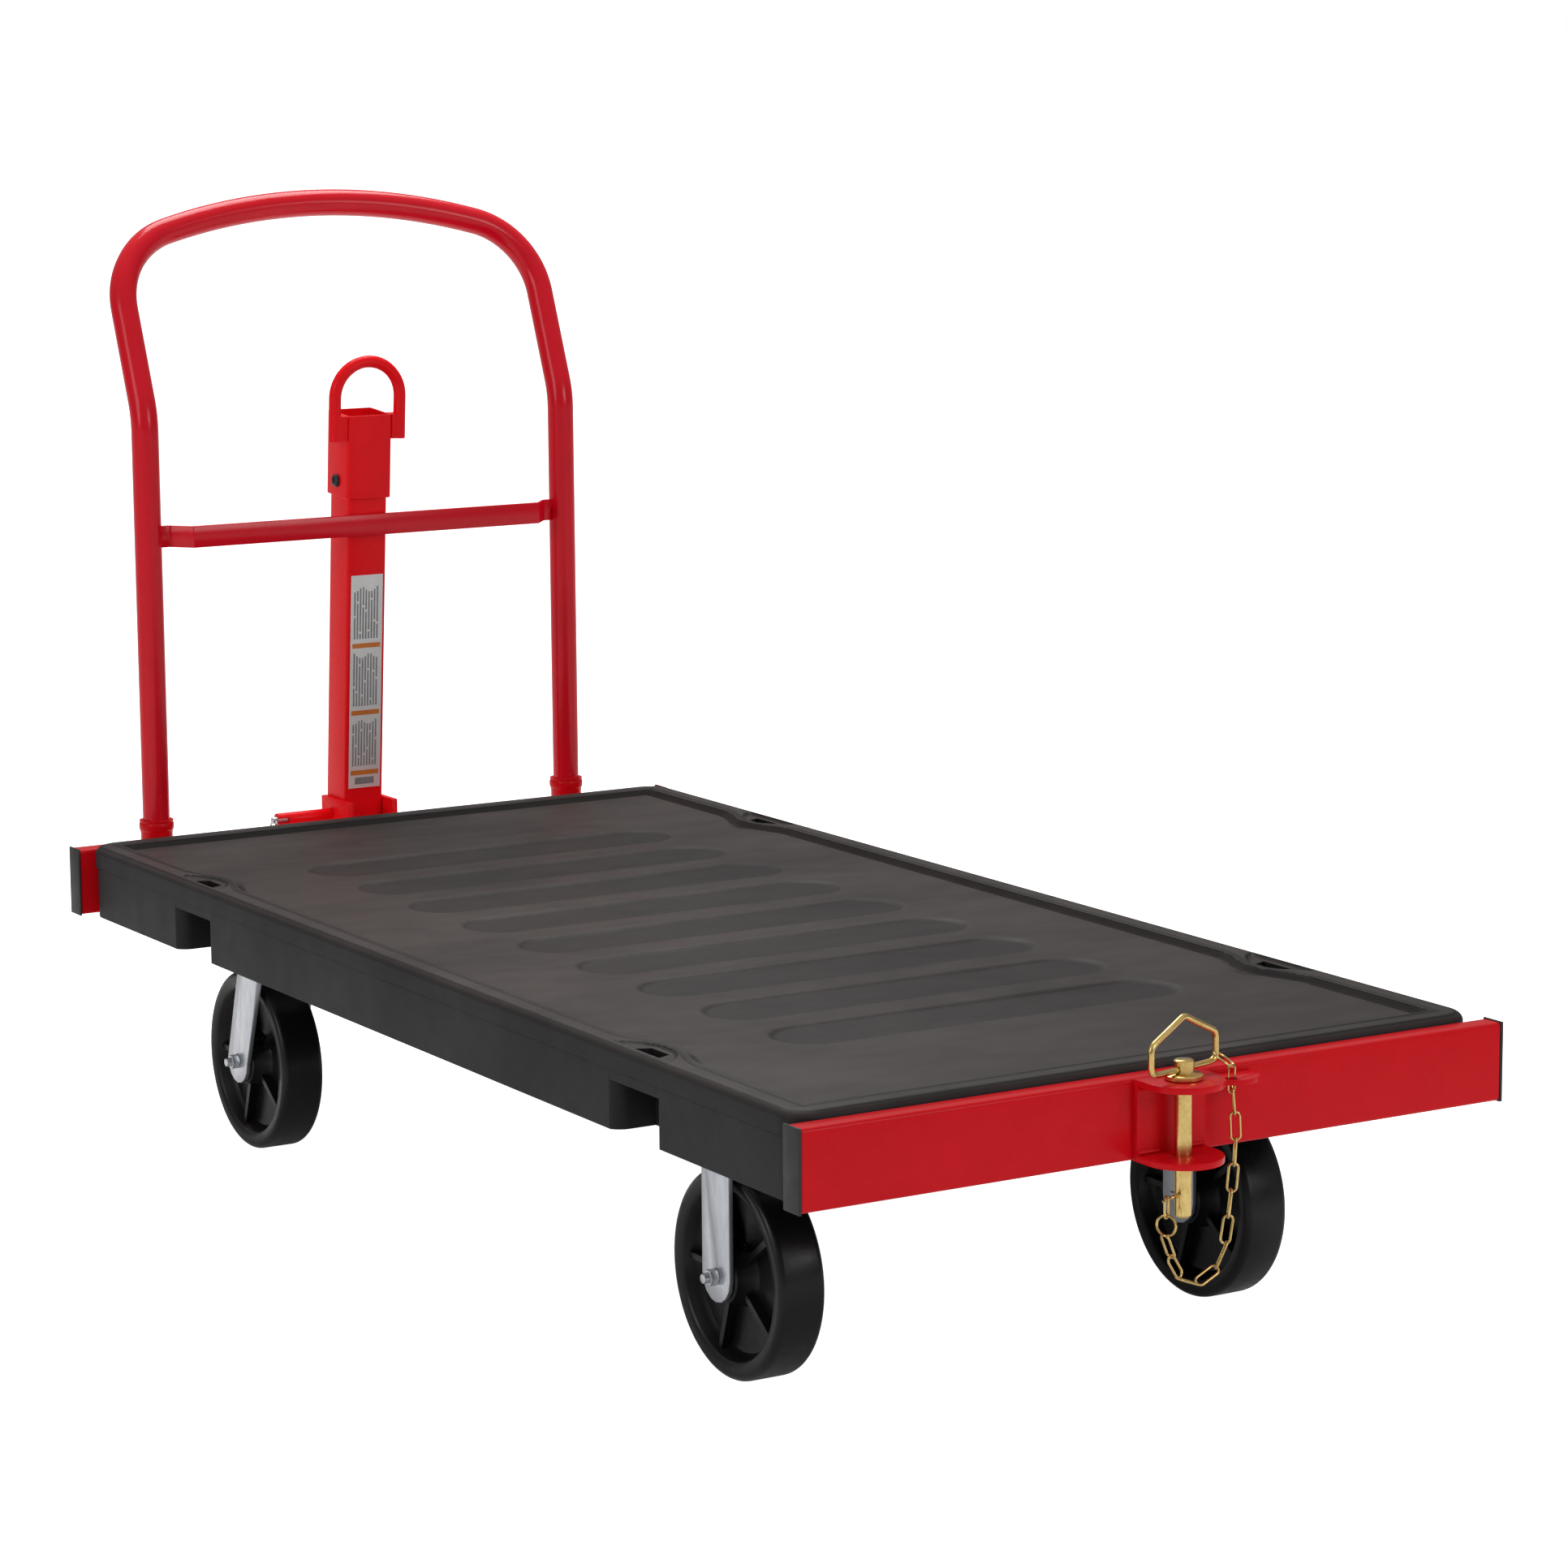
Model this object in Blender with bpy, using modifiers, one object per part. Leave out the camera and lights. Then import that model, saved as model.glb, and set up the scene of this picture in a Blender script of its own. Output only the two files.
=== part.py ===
"""Towable platform cart: moulded deck on a steel frame, fixed push handle, fold-up tow bar and hitch.

Metres, +Z up.  +X is the cart's right side, +Y its handle end and -Y its hitch end.  The floor is z = 0.
The frame is modelled about the deck's middle, and the last lines move it so that the whole cart's box
is centred on the origin.
"""
import math

import bmesh
import bpy
from mathutils import Matrix, Vector

# ------------------------------------------------------------------ driving dimensions
GAP = 0.0003                 # between solids that touch
RUNNING = 0.0004             # radial clearance of a pin or bush that turns

FRAME_LENGTH = 1.6276        # over the two end members
MEMBER_HEIGHT = 0.0762       # end member, rectangular tube
MEMBER_DEPTH = 0.0254
MEMBER_WALL = 0.0030
MEMBER_SPAN = 0.7870         # over the end caps
MEMBER_BOTTOM = 0.2410
CAP_THICKNESS = 0.0030
CAP_LIP = 0.0010             # how far a cap stands proud of the tube
PLUG_LENGTH = 0.0180

RAIL_WIDTH = 0.0508          # rails that join the end members under the deck
RAIL_HEIGHT = 0.0254
RAIL_WALL = 0.0025
RAIL_OFFSET = 0.1700
BEAM_HEIGHT = 0.0381         # cross beams that carry the casters
BEAM_DEPTH = 0.1240
BEAM_WALL = 0.0045
BEAM_CLEARANCE = 0.0060      # from a beam's end to the deck's tie-down boxes

DECK_WIDTH = 0.7620
DECK_CORNER = 0.0280
DECK_WALL = 0.0050
DECK_END_GAP = 0.0008
RIM_RISE = 0.0070            # rim above the end members
RIM_WIDTH = 0.0300
RIM_STEP = 0.0055            # panel below the rim
PANEL_THICKNESS = 0.0065
GROOVE_COUNT = 9
GROOVE_PITCH = 0.1260
GROOVE_LENGTH = 0.4560
GROOVE_WIDTH = 0.0820
GROOVE_DEPTH = 0.0020
RIB_OFFSETS = (0.0700, 0.2850)
RIB_THICKNESS = 0.0050

NOTCH_PLACE = 0.4980         # tie-down notch, distance from the deck's middle
NOTCH_WIDTH = 0.0740
NOTCH_MOUTH = 0.1100
NOTCH_REACH = 0.0460
NOTCH_HEIGHT = 0.0480
RECESS_CHORD = 0.1040
RECESS_REACH = 0.0300
RECESS_LIP = 0.0080
RECESS_DEPTH = 0.0045
SLOT_SETBACK = 0.0090        # from the recess's outer edge to the slot's middle
SLOT_LENGTH = 0.0460
SLOT_WIDTH = 0.0130

WHEEL_RADIUS = 0.1016
WHEEL_WIDTH = 0.0508
WHEEL_SIDES = 24
HUB_RADIUS = 0.0260
HUB_LENGTH = 0.0580
HUB_TAPER = 0.0040
WEB_THICKNESS = 0.0120
TYRE_BORE = 0.0820
TYRE_TAPER = (0.0030, 0.0020)  # across the web, below the tread's side
TREAD_ROUND = 0.0080
AXLE_RADIUS = 0.0048
AXLE_HEAD_HEIGHT = 0.0060
BUSH_RADIUS = 0.0064
FORK_PLAY = 0.0016           # between hub and fork leg
LEG_THICKNESS = 0.0050
LEG_WIDTH = 0.0500
FORK_PLATE_SIZE = (0.1020, 0.1140, 0.0060)
FRONT_WHEEL_PLACE = (0.2670, -0.5140)
SWIVEL_PLACE = (0.2690, 0.5140)
SWIVEL_LEAD = 0.0400
RACE_RADIUS = 0.0360
RACE_HEIGHT = 0.0060
CROWN_HEIGHT = 0.0080
CROWN_MARGIN = (0.0050, 0.0030)  # round the race, beside the legs
BALL_GAP = 0.0010
KINGPIN_RADIUS = 0.0060
KINGPIN_NUT = (0.0110, 0.0080)
KINGPIN_SINK = 0.0005        # below the swivel plate's top
NUT_RADIUS = 0.0082
NUT_HEIGHT = 0.0080
BOLT_TAIL = 0.0060
WINDOW = (0.0180, 0.0260)    # window in a rigid caster's leg: width, height
WINDOW_DROP = 0.0060

HANDLE_RADIUS = 0.0159
HANDLE_WALL = 0.0020
HANDLE_OFFSET = 0.2748
HANDLE_BEND_HEIGHT = 0.8120
HANDLE_LEAN = math.radians(22.0)
HANDLE_BEND_RADIUS = 0.1000
HANDLE_CORNER_RADIUS = 0.0980
HANDLE_TOP_RISE = 0.2545     # along the leaning part
HANDLE_CROWN_SLOPE = math.radians(16.5)
SOCKET_WALL = 0.0025
SOCKET_DEPTH = 0.0800
SOCKET_FLARE = 0.0040
SOCKET_BAND = (0.0050, 0.0010, 0.0030)  # down from the mouth, above and below the rim's height
SOCKET_FLOOR = 0.0040
SOCKET_RISE = 0.0120         # above the rim
HANDLE_FOOT = 0.0060         # above the socket's base
CROSSBAR_HEIGHT = 0.6700
CROSSBAR_WIDTH = 0.0254
CROSSBAR_THICKNESS = 0.0050
CROSSBAR_TAB = 0.0100
CROSSBAR_STEP = 0.0200

TOW_TUBE = 0.0508
TOW_WALL = 0.0030
TOW_LEAN = math.radians(4.62)
TOW_PIVOT_HEIGHT = 0.2620
TOW_PIVOT_SETBACK = 0.0574   # behind the rear member's face
TOW_TAIL = 0.0270
TOW_TUBE_LENGTH = 0.5260     # above the pivot
TOW_BOLT_RADIUS = 0.0063
TOW_BOLT_HEAD = (0.0105, 0.0080)
TOW_BOLT_TAIL = 0.0030
SLEEVE_WALL = 0.0032
SLEEVE_BASE = 0.4430         # above the pivot
SLEEVE_LENGTH = 0.1000
SLEEVE_BOLTS = (0.0190, 0.0760)
SLEEVE_BOLT_RADIUS = 0.0050
SLEEVE_BOLT_HEAD = (0.0078, 0.0050)
SLEEVE_BOLT_TAIL = 0.0040
EYE_BAR_RADIUS = 0.0073
EYE_HALF_SPAN = 0.0425
EYE_LEG_BASE = 0.5130        # above the pivot
EYE_BEND_CENTRE = 0.5640
EYE_FORWARD = 0.0200
EYE_PAD = (0.0150, 0.0300)
CHEEK_THICKNESS = 0.0064
CHEEK_HEIGHT = 0.0930
CHEEK_PLAY = 0.0006
CHEEK_BEHIND_PIVOT = 0.0190
CHEEK_ROUND = 0.0140
BRACKET_WEB = 0.0060
LATCH_HEIGHT = 0.3130
LATCH_LENGTH = 0.0710
LATCH_TUBE = (0.0083, 0.0065)  # outer and inner radius
LATCH_PIN_RADIUS = 0.0040
LATCH_COLLAR = (0.0058, 0.0050)
LATCH_COLLAR_GAP = 0.0020    # from the cheek to the collar
LATCH_SLOT = (0.0140, 0.0060)
LATCH_SHOULDER = 0.0040      # narrow neck that guides the pin's tail
LATCH_TAIL = 0.0060
LATCH_NOSE_GAP = 0.0010      # from the tow bar to the pin's nose
LATCH_RING = (0.0110, 0.0010)
LATCH_RING_HOLE = 0.0019
LATCH_RING_INSET = 0.0030
SPRING_WIRE = 0.0006
SPRING_TURNS = 9
LABEL_SIZE = (0.0420, 0.0005, 0.2620)
LABEL_BASE = 0.0880          # above the pivot

CLEVIS_WIDTH = 0.0762
CLEVIS_PLATE = 0.0060
CLEVIS_REACH = 0.0247        # member face to pin axis
PIN_RADIUS = 0.0080
PIN_LENGTH = 0.1290
PIN_POINT = 0.0020
PIN_FLANGE = (0.0180, 0.0055)
PIN_HEAD = (0.0094, 0.0130)
PIN_HOLE_HEIGHT = 0.2124
BAIL_RADIUS = 0.0031
BAIL_HALF_SPAN = 0.0462
BAIL_SHOULDER = 0.0270
BAIL_PEAK = 0.0477
BAIL_CORNER = 0.0050
BAIL_TURN = math.radians(14.8)
TAB_PLACE = 0.0660
TAB_WIDTH = 0.0520
TAB_REACH = 0.0340
TAB_THICKNESS = 0.0050
TAB_DROP = 0.0070            # below the member's top
TAB_HOLE = (0.0550, -0.0217, 0.0065)   # x, forward of the member, radius
CLIP_TURN = math.radians(30.0)
CLIP_WIRE = 0.0013
CLIP_SHANK = 0.0230          # from the pin's near side to the leg's tip
CLIP_RISE = 0.0115
CLIP_FLARE = 0.0050
CLIP_DROOP = 0.6             # slope of the hairpin's plane behind the pin
LINK_SIZE = (0.0040, 0.0120) # end radius and straight run of its centreline
RING_SIZE = (0.0096, 0.0012) # centreline and wire radius
CHAIN_RADIUS = 0.0030

# ------------------------------------------------------------------ places worked out from them
MEMBER_TOP = MEMBER_BOTTOM + MEMBER_HEIGHT
REAR_FACE = FRAME_LENGTH / 2
FRONT_FACE = -FRAME_LENGTH / 2
INNER_LENGTH = FRAME_LENGTH - 2 * MEMBER_DEPTH
RIM_TOP = MEMBER_TOP + RIM_RISE
PANEL_TOP = RIM_TOP - RIM_STEP
PANEL_UNDER = PANEL_TOP - PANEL_THICKNESS
DECK_LENGTH = INNER_LENGTH - 2 * DECK_END_GAP
BEAM_TOP = MEMBER_BOTTOM + BEAM_HEIGHT
BEAM_SPAN = DECK_WIDTH - 2 * (NOTCH_REACH + DECK_WALL + BEAM_CLEARANCE)
RAIL_BASE = BEAM_TOP + GAP
RAIL_TOP = RAIL_BASE + RAIL_HEIGHT
CASTER_TOP = MEMBER_BOTTOM - GAP
LEG_INNER = HUB_LENGTH / 2 + FORK_PLAY
LEG_OUTER = LEG_INNER + LEG_THICKNESS
SOCKET_RADIUS = HANDLE_RADIUS + GAP + SOCKET_WALL
HANDLE_LINE = REAR_FACE + GAP + SOCKET_RADIUS
SOCKET_TOP = RIM_TOP + SOCKET_RISE
TOW_PIVOT = REAR_FACE + TOW_PIVOT_SETBACK
CHEEK_INNER = TOW_TUBE / 2 + CHEEK_PLAY
CHEEK_OUTER = CHEEK_INNER + CHEEK_THICKNESS
SLEEVE_OUTER = TOW_TUBE + 2 * GAP + 2 * SLEEVE_WALL
LATCH_LINE = TOW_PIVOT - (LATCH_HEIGHT - TOW_PIVOT_HEIGHT) * math.tan(TOW_LEAN)
PIN_LINE = FRONT_FACE - CLEVIS_REACH
FLANGE_BASE = MEMBER_TOP + GAP
BAIL_HEIGHT = FLANGE_BASE + PIN_FLANGE[1] + BAIL_RADIUS + 2 * RUNNING
TAB_TOP = MEMBER_TOP - TAB_DROP

# The safety chain hangs in a loop from the tab's hole to the clip's ring.
CHAIN_ROUTE = [
    (0.0565, -0.8355, 0.3010), (0.0590, -0.8356, 0.2850), (0.0610, -0.8357, 0.2620), (0.0605, -0.8358, 0.2400),
    (0.0580, -0.8359, 0.2150), (0.0545, -0.8361, 0.1900), (0.0510, -0.8363, 0.1650), (0.0450, -0.8366, 0.1440),
    (0.0330, -0.8371, 0.1310), (0.0160, -0.8377, 0.1260), (0.0001, -0.8396, 0.1303), (-0.0098, -0.8414, 0.1436),
    (-0.0168, -0.8440, 0.1581), (-0.0225, -0.8461, 0.1715),
]

SIDES = {"left": -1, "right": 1}
SIDEWAYS = Matrix(((0, 0, 1, 0), (1, 0, 0, 0), (0, 1, 0, 0), (0, 0, 0, 1)))   # outline in YZ, thickness along X
ALONG_X = Matrix.Rotation(math.pi / 2, 4, "Y")
ALONG_Y = Matrix.Rotation(math.pi / 2, 4, "X")


# ------------------------------------------------------------------ scene and materials
for old in list(bpy.data.objects):
    bpy.data.objects.remove(old)

PARTS = bpy.data.collections.new("platform_cart")
CUTTERS = bpy.data.collections.new("platform_cart_cutters")
for collection in (PARTS, CUTTERS):
    bpy.context.scene.collection.children.link(collection)


def material(name, colour, roughness, metallic):
    made = bpy.data.materials.new(name)
    made.use_nodes = True
    shader = made.node_tree.nodes["Principled BSDF"]
    shader.inputs["Base Color"].default_value = (*colour, 1.0)
    shader.inputs["Roughness"].default_value = roughness
    shader.inputs["Metallic"].default_value = metallic
    return made


FRAME_RED = material("frame_red", (0.46, 0.010, 0.018), 0.35, 0.0)
HANDLE_RED = material("handle_red", (0.42, 0.004, 0.014), 0.25, 0.0)
TOW_RED = material("tow_red", (0.62, 0.012, 0.018), 0.30, 0.0)
DECK_GREY = material("deck_plastic", (0.050, 0.045, 0.042), 0.70, 0.0)
CAP_GREY = material("cap_plastic", (0.045, 0.043, 0.045), 0.60, 0.0)
WHEEL_BLACK = material("wheel_black", (0.012, 0.012, 0.013), 0.40, 0.0)
ZINC = material("bright_zinc", (0.62, 0.64, 0.66), 0.35, 1.0)
GOLD_ZINC = material("yellow_zinc", (0.72, 0.50, 0.18), 0.30, 1.0)
DARK_STEEL = material("dark_steel", (0.030, 0.032, 0.034), 0.45, 0.6)
BRONZE = material("bush_bronze", (0.40, 0.26, 0.12), 0.45, 1.0)
LABEL_WHITE = material("label_white", (0.80, 0.80, 0.78), 0.50, 0.0)


# ------------------------------------------------------------------ modelling helpers
def keep(obj, name, finish, place):
    """Gives an object its name, finish and place, in the parts' or the cutters' collection."""
    obj.name = name
    for owner in list(obj.users_collection):
        owner.objects.unlink(obj)
    (CUTTERS if finish is None else PARTS).objects.link(obj)
    obj.matrix_world = place
    if finish is None:
        obj.hide_render = True
        obj.display_type = "WIRE"
    else:
        obj.data.materials.clear()
        obj.data.materials.append(finish)
    return obj


def box(name, size, centre, finish=None):
    bpy.ops.mesh.primitive_cube_add(size=1.0)
    obj = bpy.context.object
    obj.data.transform(Matrix.Diagonal((*size, 1.0)))
    return keep(obj, name, finish, Matrix.Translation(centre))


def cylinder(name, radius, length, centre, finish=None, turn=Matrix(), sides=20):
    bpy.ops.mesh.primitive_cylinder_add(vertices=sides, radius=radius, depth=length)
    obj = bpy.context.object
    if sides > 8:
        obj.data.shade_smooth()
        obj.data.set_sharp_from_angle(angle=math.radians(40))
    return keep(obj, name, finish, Matrix.Translation(centre) @ turn)


def turned(name, profile, centre, finish=None, turn=Matrix(), sides=24):
    """A profile of (radius, height) points, outer side first from top to bottom, turned about its Z axis."""
    mesh = bpy.data.meshes.new(name)
    points = [(radius, 0.0, height) for radius, height in profile]
    closed = min(radius for radius, _ in profile) > 0
    edges = [(i, i + 1) for i in range(len(points) - 1)] + ([(len(points) - 1, 0)] if closed else [])
    mesh.from_pydata(points, edges, [])
    obj = bpy.data.objects.new(name, mesh)
    screw = obj.modifiers.new("turn", "SCREW")
    screw.steps = screw.render_steps = sides
    screw.use_merge_vertices = True
    screw.merge_threshold = 0.00002
    return keep(obj, name, finish, Matrix.Translation(centre) @ turn)


def solid_of(curve_object, name, finish, place):
    """A curve object's evaluated mesh as an object of its own, with its caps welded."""
    bpy.context.scene.collection.objects.link(curve_object)
    bpy.context.view_layer.update()
    evaluated = curve_object.evaluated_get(bpy.context.evaluated_depsgraph_get())
    mesh = bpy.data.meshes.new_from_object(evaluated)
    bpy.data.objects.remove(curve_object)
    work = bmesh.new()
    work.from_mesh(mesh)
    bmesh.ops.remove_doubles(work, verts=work.verts, dist=0.00001)
    work.to_mesh(mesh)
    work.free()
    return keep(bpy.data.objects.new(name, mesh), name, finish, place)


def plate(name, outlines, thickness, place, finish=None):
    """Flat outlines in the XY plane, thickened evenly to both sides of it."""
    curve = bpy.data.curves.new(name, "CURVE")
    curve.dimensions = "2D"
    curve.fill_mode = "BOTH"
    curve.extrude = thickness / 2
    for outline in outlines:
        spline = curve.splines.new("POLY")
        spline.points.add(len(outline) - 1)
        for point, (x, y) in zip(spline.points, outline):
            point.co = (x, y, 0.0, 1.0)
        spline.use_cyclic_u = True
    return solid_of(bpy.data.objects.new(name, curve), name, finish, place)


def bar(name, points, radius, finish=None, rounding=3, closed=False):
    """A round bar or wire along points, with filled ends."""
    curve = bpy.data.curves.new(name, "CURVE")
    curve.dimensions = "3D"
    curve.bevel_depth = radius
    curve.bevel_resolution = rounding
    curve.use_fill_caps = True
    spline = curve.splines.new("POLY")
    spline.points.add(len(points) - 1)
    for point, place in zip(spline.points, points):
        point.co = (*place, 1.0)
    spline.use_cyclic_u = closed
    return solid_of(bpy.data.objects.new(name, curve), name, finish, Matrix())


def combine(target, others, operation="DIFFERENCE"):
    """Cuts the others out of the target, or joins them to it; they stay as hidden guides that move with it."""
    bpy.context.view_layer.update()
    for other in others:
        step = target.modifiers.new(other.name, "BOOLEAN")
        step.operation = operation
        step.object = other
        other.parent = target
        other.matrix_parent_inverse = target.matrix_world.inverted()
    return target


def join(target, others):
    return combine(target, others, "UNION")


def axis_point(name, place, parent):
    """An empty on a joint's axis."""
    empty = bpy.data.objects.new(name, None)
    PARTS.objects.link(empty)
    empty.location = place
    attach(parent, [empty])
    return empty


def attach(parent, children):
    bpy.context.view_layer.update()
    for child in children:
        child.parent = parent
        child.matrix_parent_inverse = parent.matrix_world.inverted()


def arc(cx, cy, radius, start, end, steps):
    """Points on an arc, angles in degrees."""
    return [
        (cx + radius * math.cos(math.radians(start + (end - start) * i / steps)),
         cy + radius * math.sin(math.radians(start + (end - start) * i / steps)))
        for i in range(steps + 1)
    ]


def rounded_rectangle(width, length, radius, centre=(0.0, 0.0), steps=3):
    x, y = width / 2 - radius, length / 2 - radius
    corners = ((x, y, 0), (-x, y, 90), (-x, -y, 180), (x, -y, 270))
    return [
        (px + centre[0], py + centre[1])
        for cx, cy, start in corners
        for px, py in arc(cx, cy, radius, start, start + 90, steps)
    ]


def at(z):
    return Matrix.Translation((0.0, 0.0, z))


def bolt(name, head, radius, length, seat, finish, head_sides=6):
    """A bolt whose head (radius, height) seats at Z = 0 of the seat's frame; its shank runs along -Z."""
    head_radius, head_height = head
    shank_length = length + head_height / 2
    shank = cylinder(name, radius, shank_length, (0, 0, 0), finish, sides=16)
    shank.matrix_world = seat @ at(head_height / 2 - shank_length / 2)
    top = cylinder(name + "_head", head_radius, head_height, (0, 0, 0), sides=head_sides)
    top.matrix_world = seat @ at(head_height / 2)
    return join(shank, [top])


def nut(name, bore, centre, turn, finish=ZINC):
    body = cylinder(name, NUT_RADIUS, NUT_HEIGHT, centre, finish, turn, sides=6)
    return combine(body, [cylinder(name + "_bore", bore, 2 * NUT_HEIGHT, centre, turn=turn, sides=16)])


ROOT = bpy.data.objects.new("cart_frame", None)
PARTS.objects.link(ROOT)


# ------------------------------------------------------------------ deck
def tie_down_outlines(side, end, kind):
    """Plan outlines of one tie-down: the notch in the skirt, its boss, the top recess or the rope slot."""
    edge, y = side * DECK_WIDTH / 2, end * NOTCH_PLACE
    if kind == "boss":
        reach, half = NOTCH_REACH + DECK_WALL, NOTCH_MOUTH / 2 + DECK_WALL
        points = [(DECK_WALL / 2, -half), (DECK_WALL / 2, half), (reach, half), (reach, -half)]
    elif kind == "notch":
        flare = (NOTCH_MOUTH - NOTCH_WIDTH) / 2
        half = NOTCH_WIDTH / 2
        points = [(-DECK_WALL, half + flare), (0, half + flare)]
        points += arc(flare, half + flare, flare, 180, 270, 3)[1:]
        points += [(NOTCH_REACH, half), (NOTCH_REACH, -half)]
        points += arc(flare, -half - flare, flare, 90, 180, 3)[:-1]
        points += [(0, -half - flare), (-DECK_WALL, -half - flare)]
    elif kind == "recess":
        half = RECESS_CHORD / 2
        radius = (half ** 2 + RECESS_REACH ** 2) / (2 * RECESS_REACH)
        sweep = math.degrees(math.asin(half / radius))
        points = arc(RECESS_LIP + RECESS_REACH - radius, 0, radius, -sweep, sweep, 10)
    else:
        points = rounded_rectangle(SLOT_WIDTH, SLOT_LENGTH, SLOT_WIDTH / 2, (RECESS_LIP + SLOT_SETBACK, 0.0))
    placed = [(edge - side * inward, y + along) for inward, along in points]
    return placed if side < 0 else placed[::-1]


def make_deck():
    height = RIM_TOP - MEMBER_BOTTOM
    deck = plate("deck", [rounded_rectangle(DECK_WIDTH, DECK_LENGTH, DECK_CORNER)], height,
                 at(MEMBER_BOTTOM + height / 2), DECK_GREY)
    rim, wall = 2 * RIM_WIDTH, 2 * DECK_WALL
    tray_outline = rounded_rectangle(DECK_WIDTH - rim, DECK_LENGTH - rim, DECK_CORNER - RIM_WIDTH / 2)
    tray = plate("deck_tray_cutter", [tray_outline], 2 * RIM_STEP, at(RIM_TOP))
    hollow_height = PANEL_UNDER - MEMBER_BOTTOM
    hollow_outline = rounded_rectangle(DECK_WIDTH - wall, DECK_LENGTH - wall, DECK_CORNER - DECK_WALL)
    hollow = plate("deck_hollow_cutter", [hollow_outline], 2 * hollow_height, at(MEMBER_BOTTOM))
    grooves = plate("deck_groove_cutter", [
        rounded_rectangle(GROOVE_LENGTH, GROOVE_WIDTH, GROOVE_WIDTH / 2 - 0.0001,
                          (0.0, (i - (GROOVE_COUNT - 1) / 2) * GROOVE_PITCH))
        for i in range(GROOVE_COUNT)], 2 * GROOVE_DEPTH, at(PANEL_TOP))
    pass_height = 2 * (RAIL_TOP + GAP - MEMBER_BOTTOM)
    passes = [
        box(f"deck_rail_pass_{name}", (RAIL_WIDTH + 2 * GAP, 2 * DECK_LENGTH, pass_height),
            (side * RAIL_OFFSET, 0, MEMBER_BOTTOM))
        for name, side in SIDES.items()
    ]
    combine(deck, [tray, hollow, grooves, *passes])

    places = [(side, end) for side in SIDES.values() for end in (-1, 1)]
    boss_height = hollow_height + PANEL_THICKNESS / 2
    bosses = plate("deck_boss_guide", [tie_down_outlines(side, end, "boss") for side, end in places],
                   boss_height, at(MEMBER_BOTTOM + boss_height / 2))
    rib_height = PANEL_UNDER + PANEL_THICKNESS / 2 - (BEAM_TOP + 3 * GAP)
    ribs = [
        box(f"deck_rib_guide_{number}", (RIB_THICKNESS, DECK_LENGTH - DECK_WALL, rib_height),
            (x, 0, BEAM_TOP + 3 * GAP + rib_height / 2))
        for number, x in enumerate(sign * offset for offset in RIB_OFFSETS for sign in (-1, 1))
    ]
    seat_height = PANEL_UNDER + PANEL_THICKNESS / 2 - (RAIL_TOP + GAP)
    seats = [
        box(f"deck_seat_guide_{name}", (RAIL_WIDTH, DECK_LENGTH - DECK_WALL, seat_height),
            (side * RAIL_OFFSET, 0, RAIL_TOP + GAP + seat_height / 2))
        for name, side in SIDES.items()
    ]
    join(deck, [bosses, *ribs, *seats])

    notches = plate("deck_notch_cutter", [tie_down_outlines(side, end, "notch") for side, end in places],
                    2 * NOTCH_HEIGHT, at(MEMBER_BOTTOM))
    recesses = plate("deck_recess_cutter", [tie_down_outlines(side, end, "recess") for side, end in places],
                     2 * RECESS_DEPTH, at(RIM_TOP))
    slots = plate("deck_slot_cutter", [tie_down_outlines(side, end, "slot") for side, end in places],
                  2 * height, at(RIM_TOP))
    combine(deck, [notches, recesses, slots])
    return deck


# ------------------------------------------------------------------ steel frame
def tube_along(name, size, wall, axis, centre, finish):
    """A rectangular tube, open at both ends."""
    inner = [extent * 2 if i == axis else extent - 2 * wall for i, extent in enumerate(size)]
    return combine(box(name, size, centre, finish), [box(name + "_bore", inner, centre)])


def end_cap(name, side, centre_y):
    x = side * (MEMBER_SPAN / 2 - CAP_THICKNESS / 2)
    z = MEMBER_BOTTOM + MEMBER_HEIGHT / 2
    cap = box(name, (CAP_THICKNESS, MEMBER_DEPTH + 2 * CAP_LIP, MEMBER_HEIGHT + 2 * CAP_LIP), (x, centre_y, z),
              CAP_GREY)
    inset = 2 * (MEMBER_WALL + GAP)
    plug_x = side * (MEMBER_SPAN / 2 - CAP_THICKNESS - PLUG_LENGTH / 2 + 0.0005)
    plug_size = (PLUG_LENGTH, MEMBER_DEPTH - inset, MEMBER_HEIGHT - inset)
    plug = box(name + "_plug", plug_size, (plug_x, centre_y, z))
    return join(cap, [plug])


def make_frame():
    made = []
    z = MEMBER_BOTTOM + MEMBER_HEIGHT / 2
    for end, y in (("front", FRONT_FACE + MEMBER_DEPTH / 2), ("rear", REAR_FACE - MEMBER_DEPTH / 2)):
        length = MEMBER_SPAN - 2 * (CAP_THICKNESS + GAP)
        size = (length, MEMBER_DEPTH, MEMBER_HEIGHT)
        made.append(tube_along(f"{end}_member", size, MEMBER_WALL, 0, (0, y, z), FRAME_RED))
        made += [end_cap(f"{end}_end_cap_{name}", side, y) for name, side in SIDES.items()]
    for name, side in SIDES.items():
        size = (RAIL_WIDTH, INNER_LENGTH - 2 * GAP, RAIL_HEIGHT)
        centre = (side * RAIL_OFFSET, 0, RAIL_BASE + RAIL_HEIGHT / 2)
        made.append(tube_along(f"frame_rail_{name}", size, RAIL_WALL, 1, centre, DARK_STEEL))
    for end, y in (("front", FRONT_WHEEL_PLACE[1]), ("rear", SWIVEL_PLACE[1])):
        centre = Vector((0, y, MEMBER_BOTTOM + BEAM_HEIGHT / 2))
        beam = box(f"caster_beam_{end}", (BEAM_SPAN, BEAM_DEPTH, BEAM_HEIGHT), centre, DARK_STEEL)
        trough = box(f"caster_beam_{end}_cutter", (2 * BEAM_SPAN, BEAM_DEPTH - 2 * BEAM_WALL, BEAM_HEIGHT),
                     centre + Vector((0, 0, BEAM_WALL)))
        made.append(combine(beam, [trough]))
    return made


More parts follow.
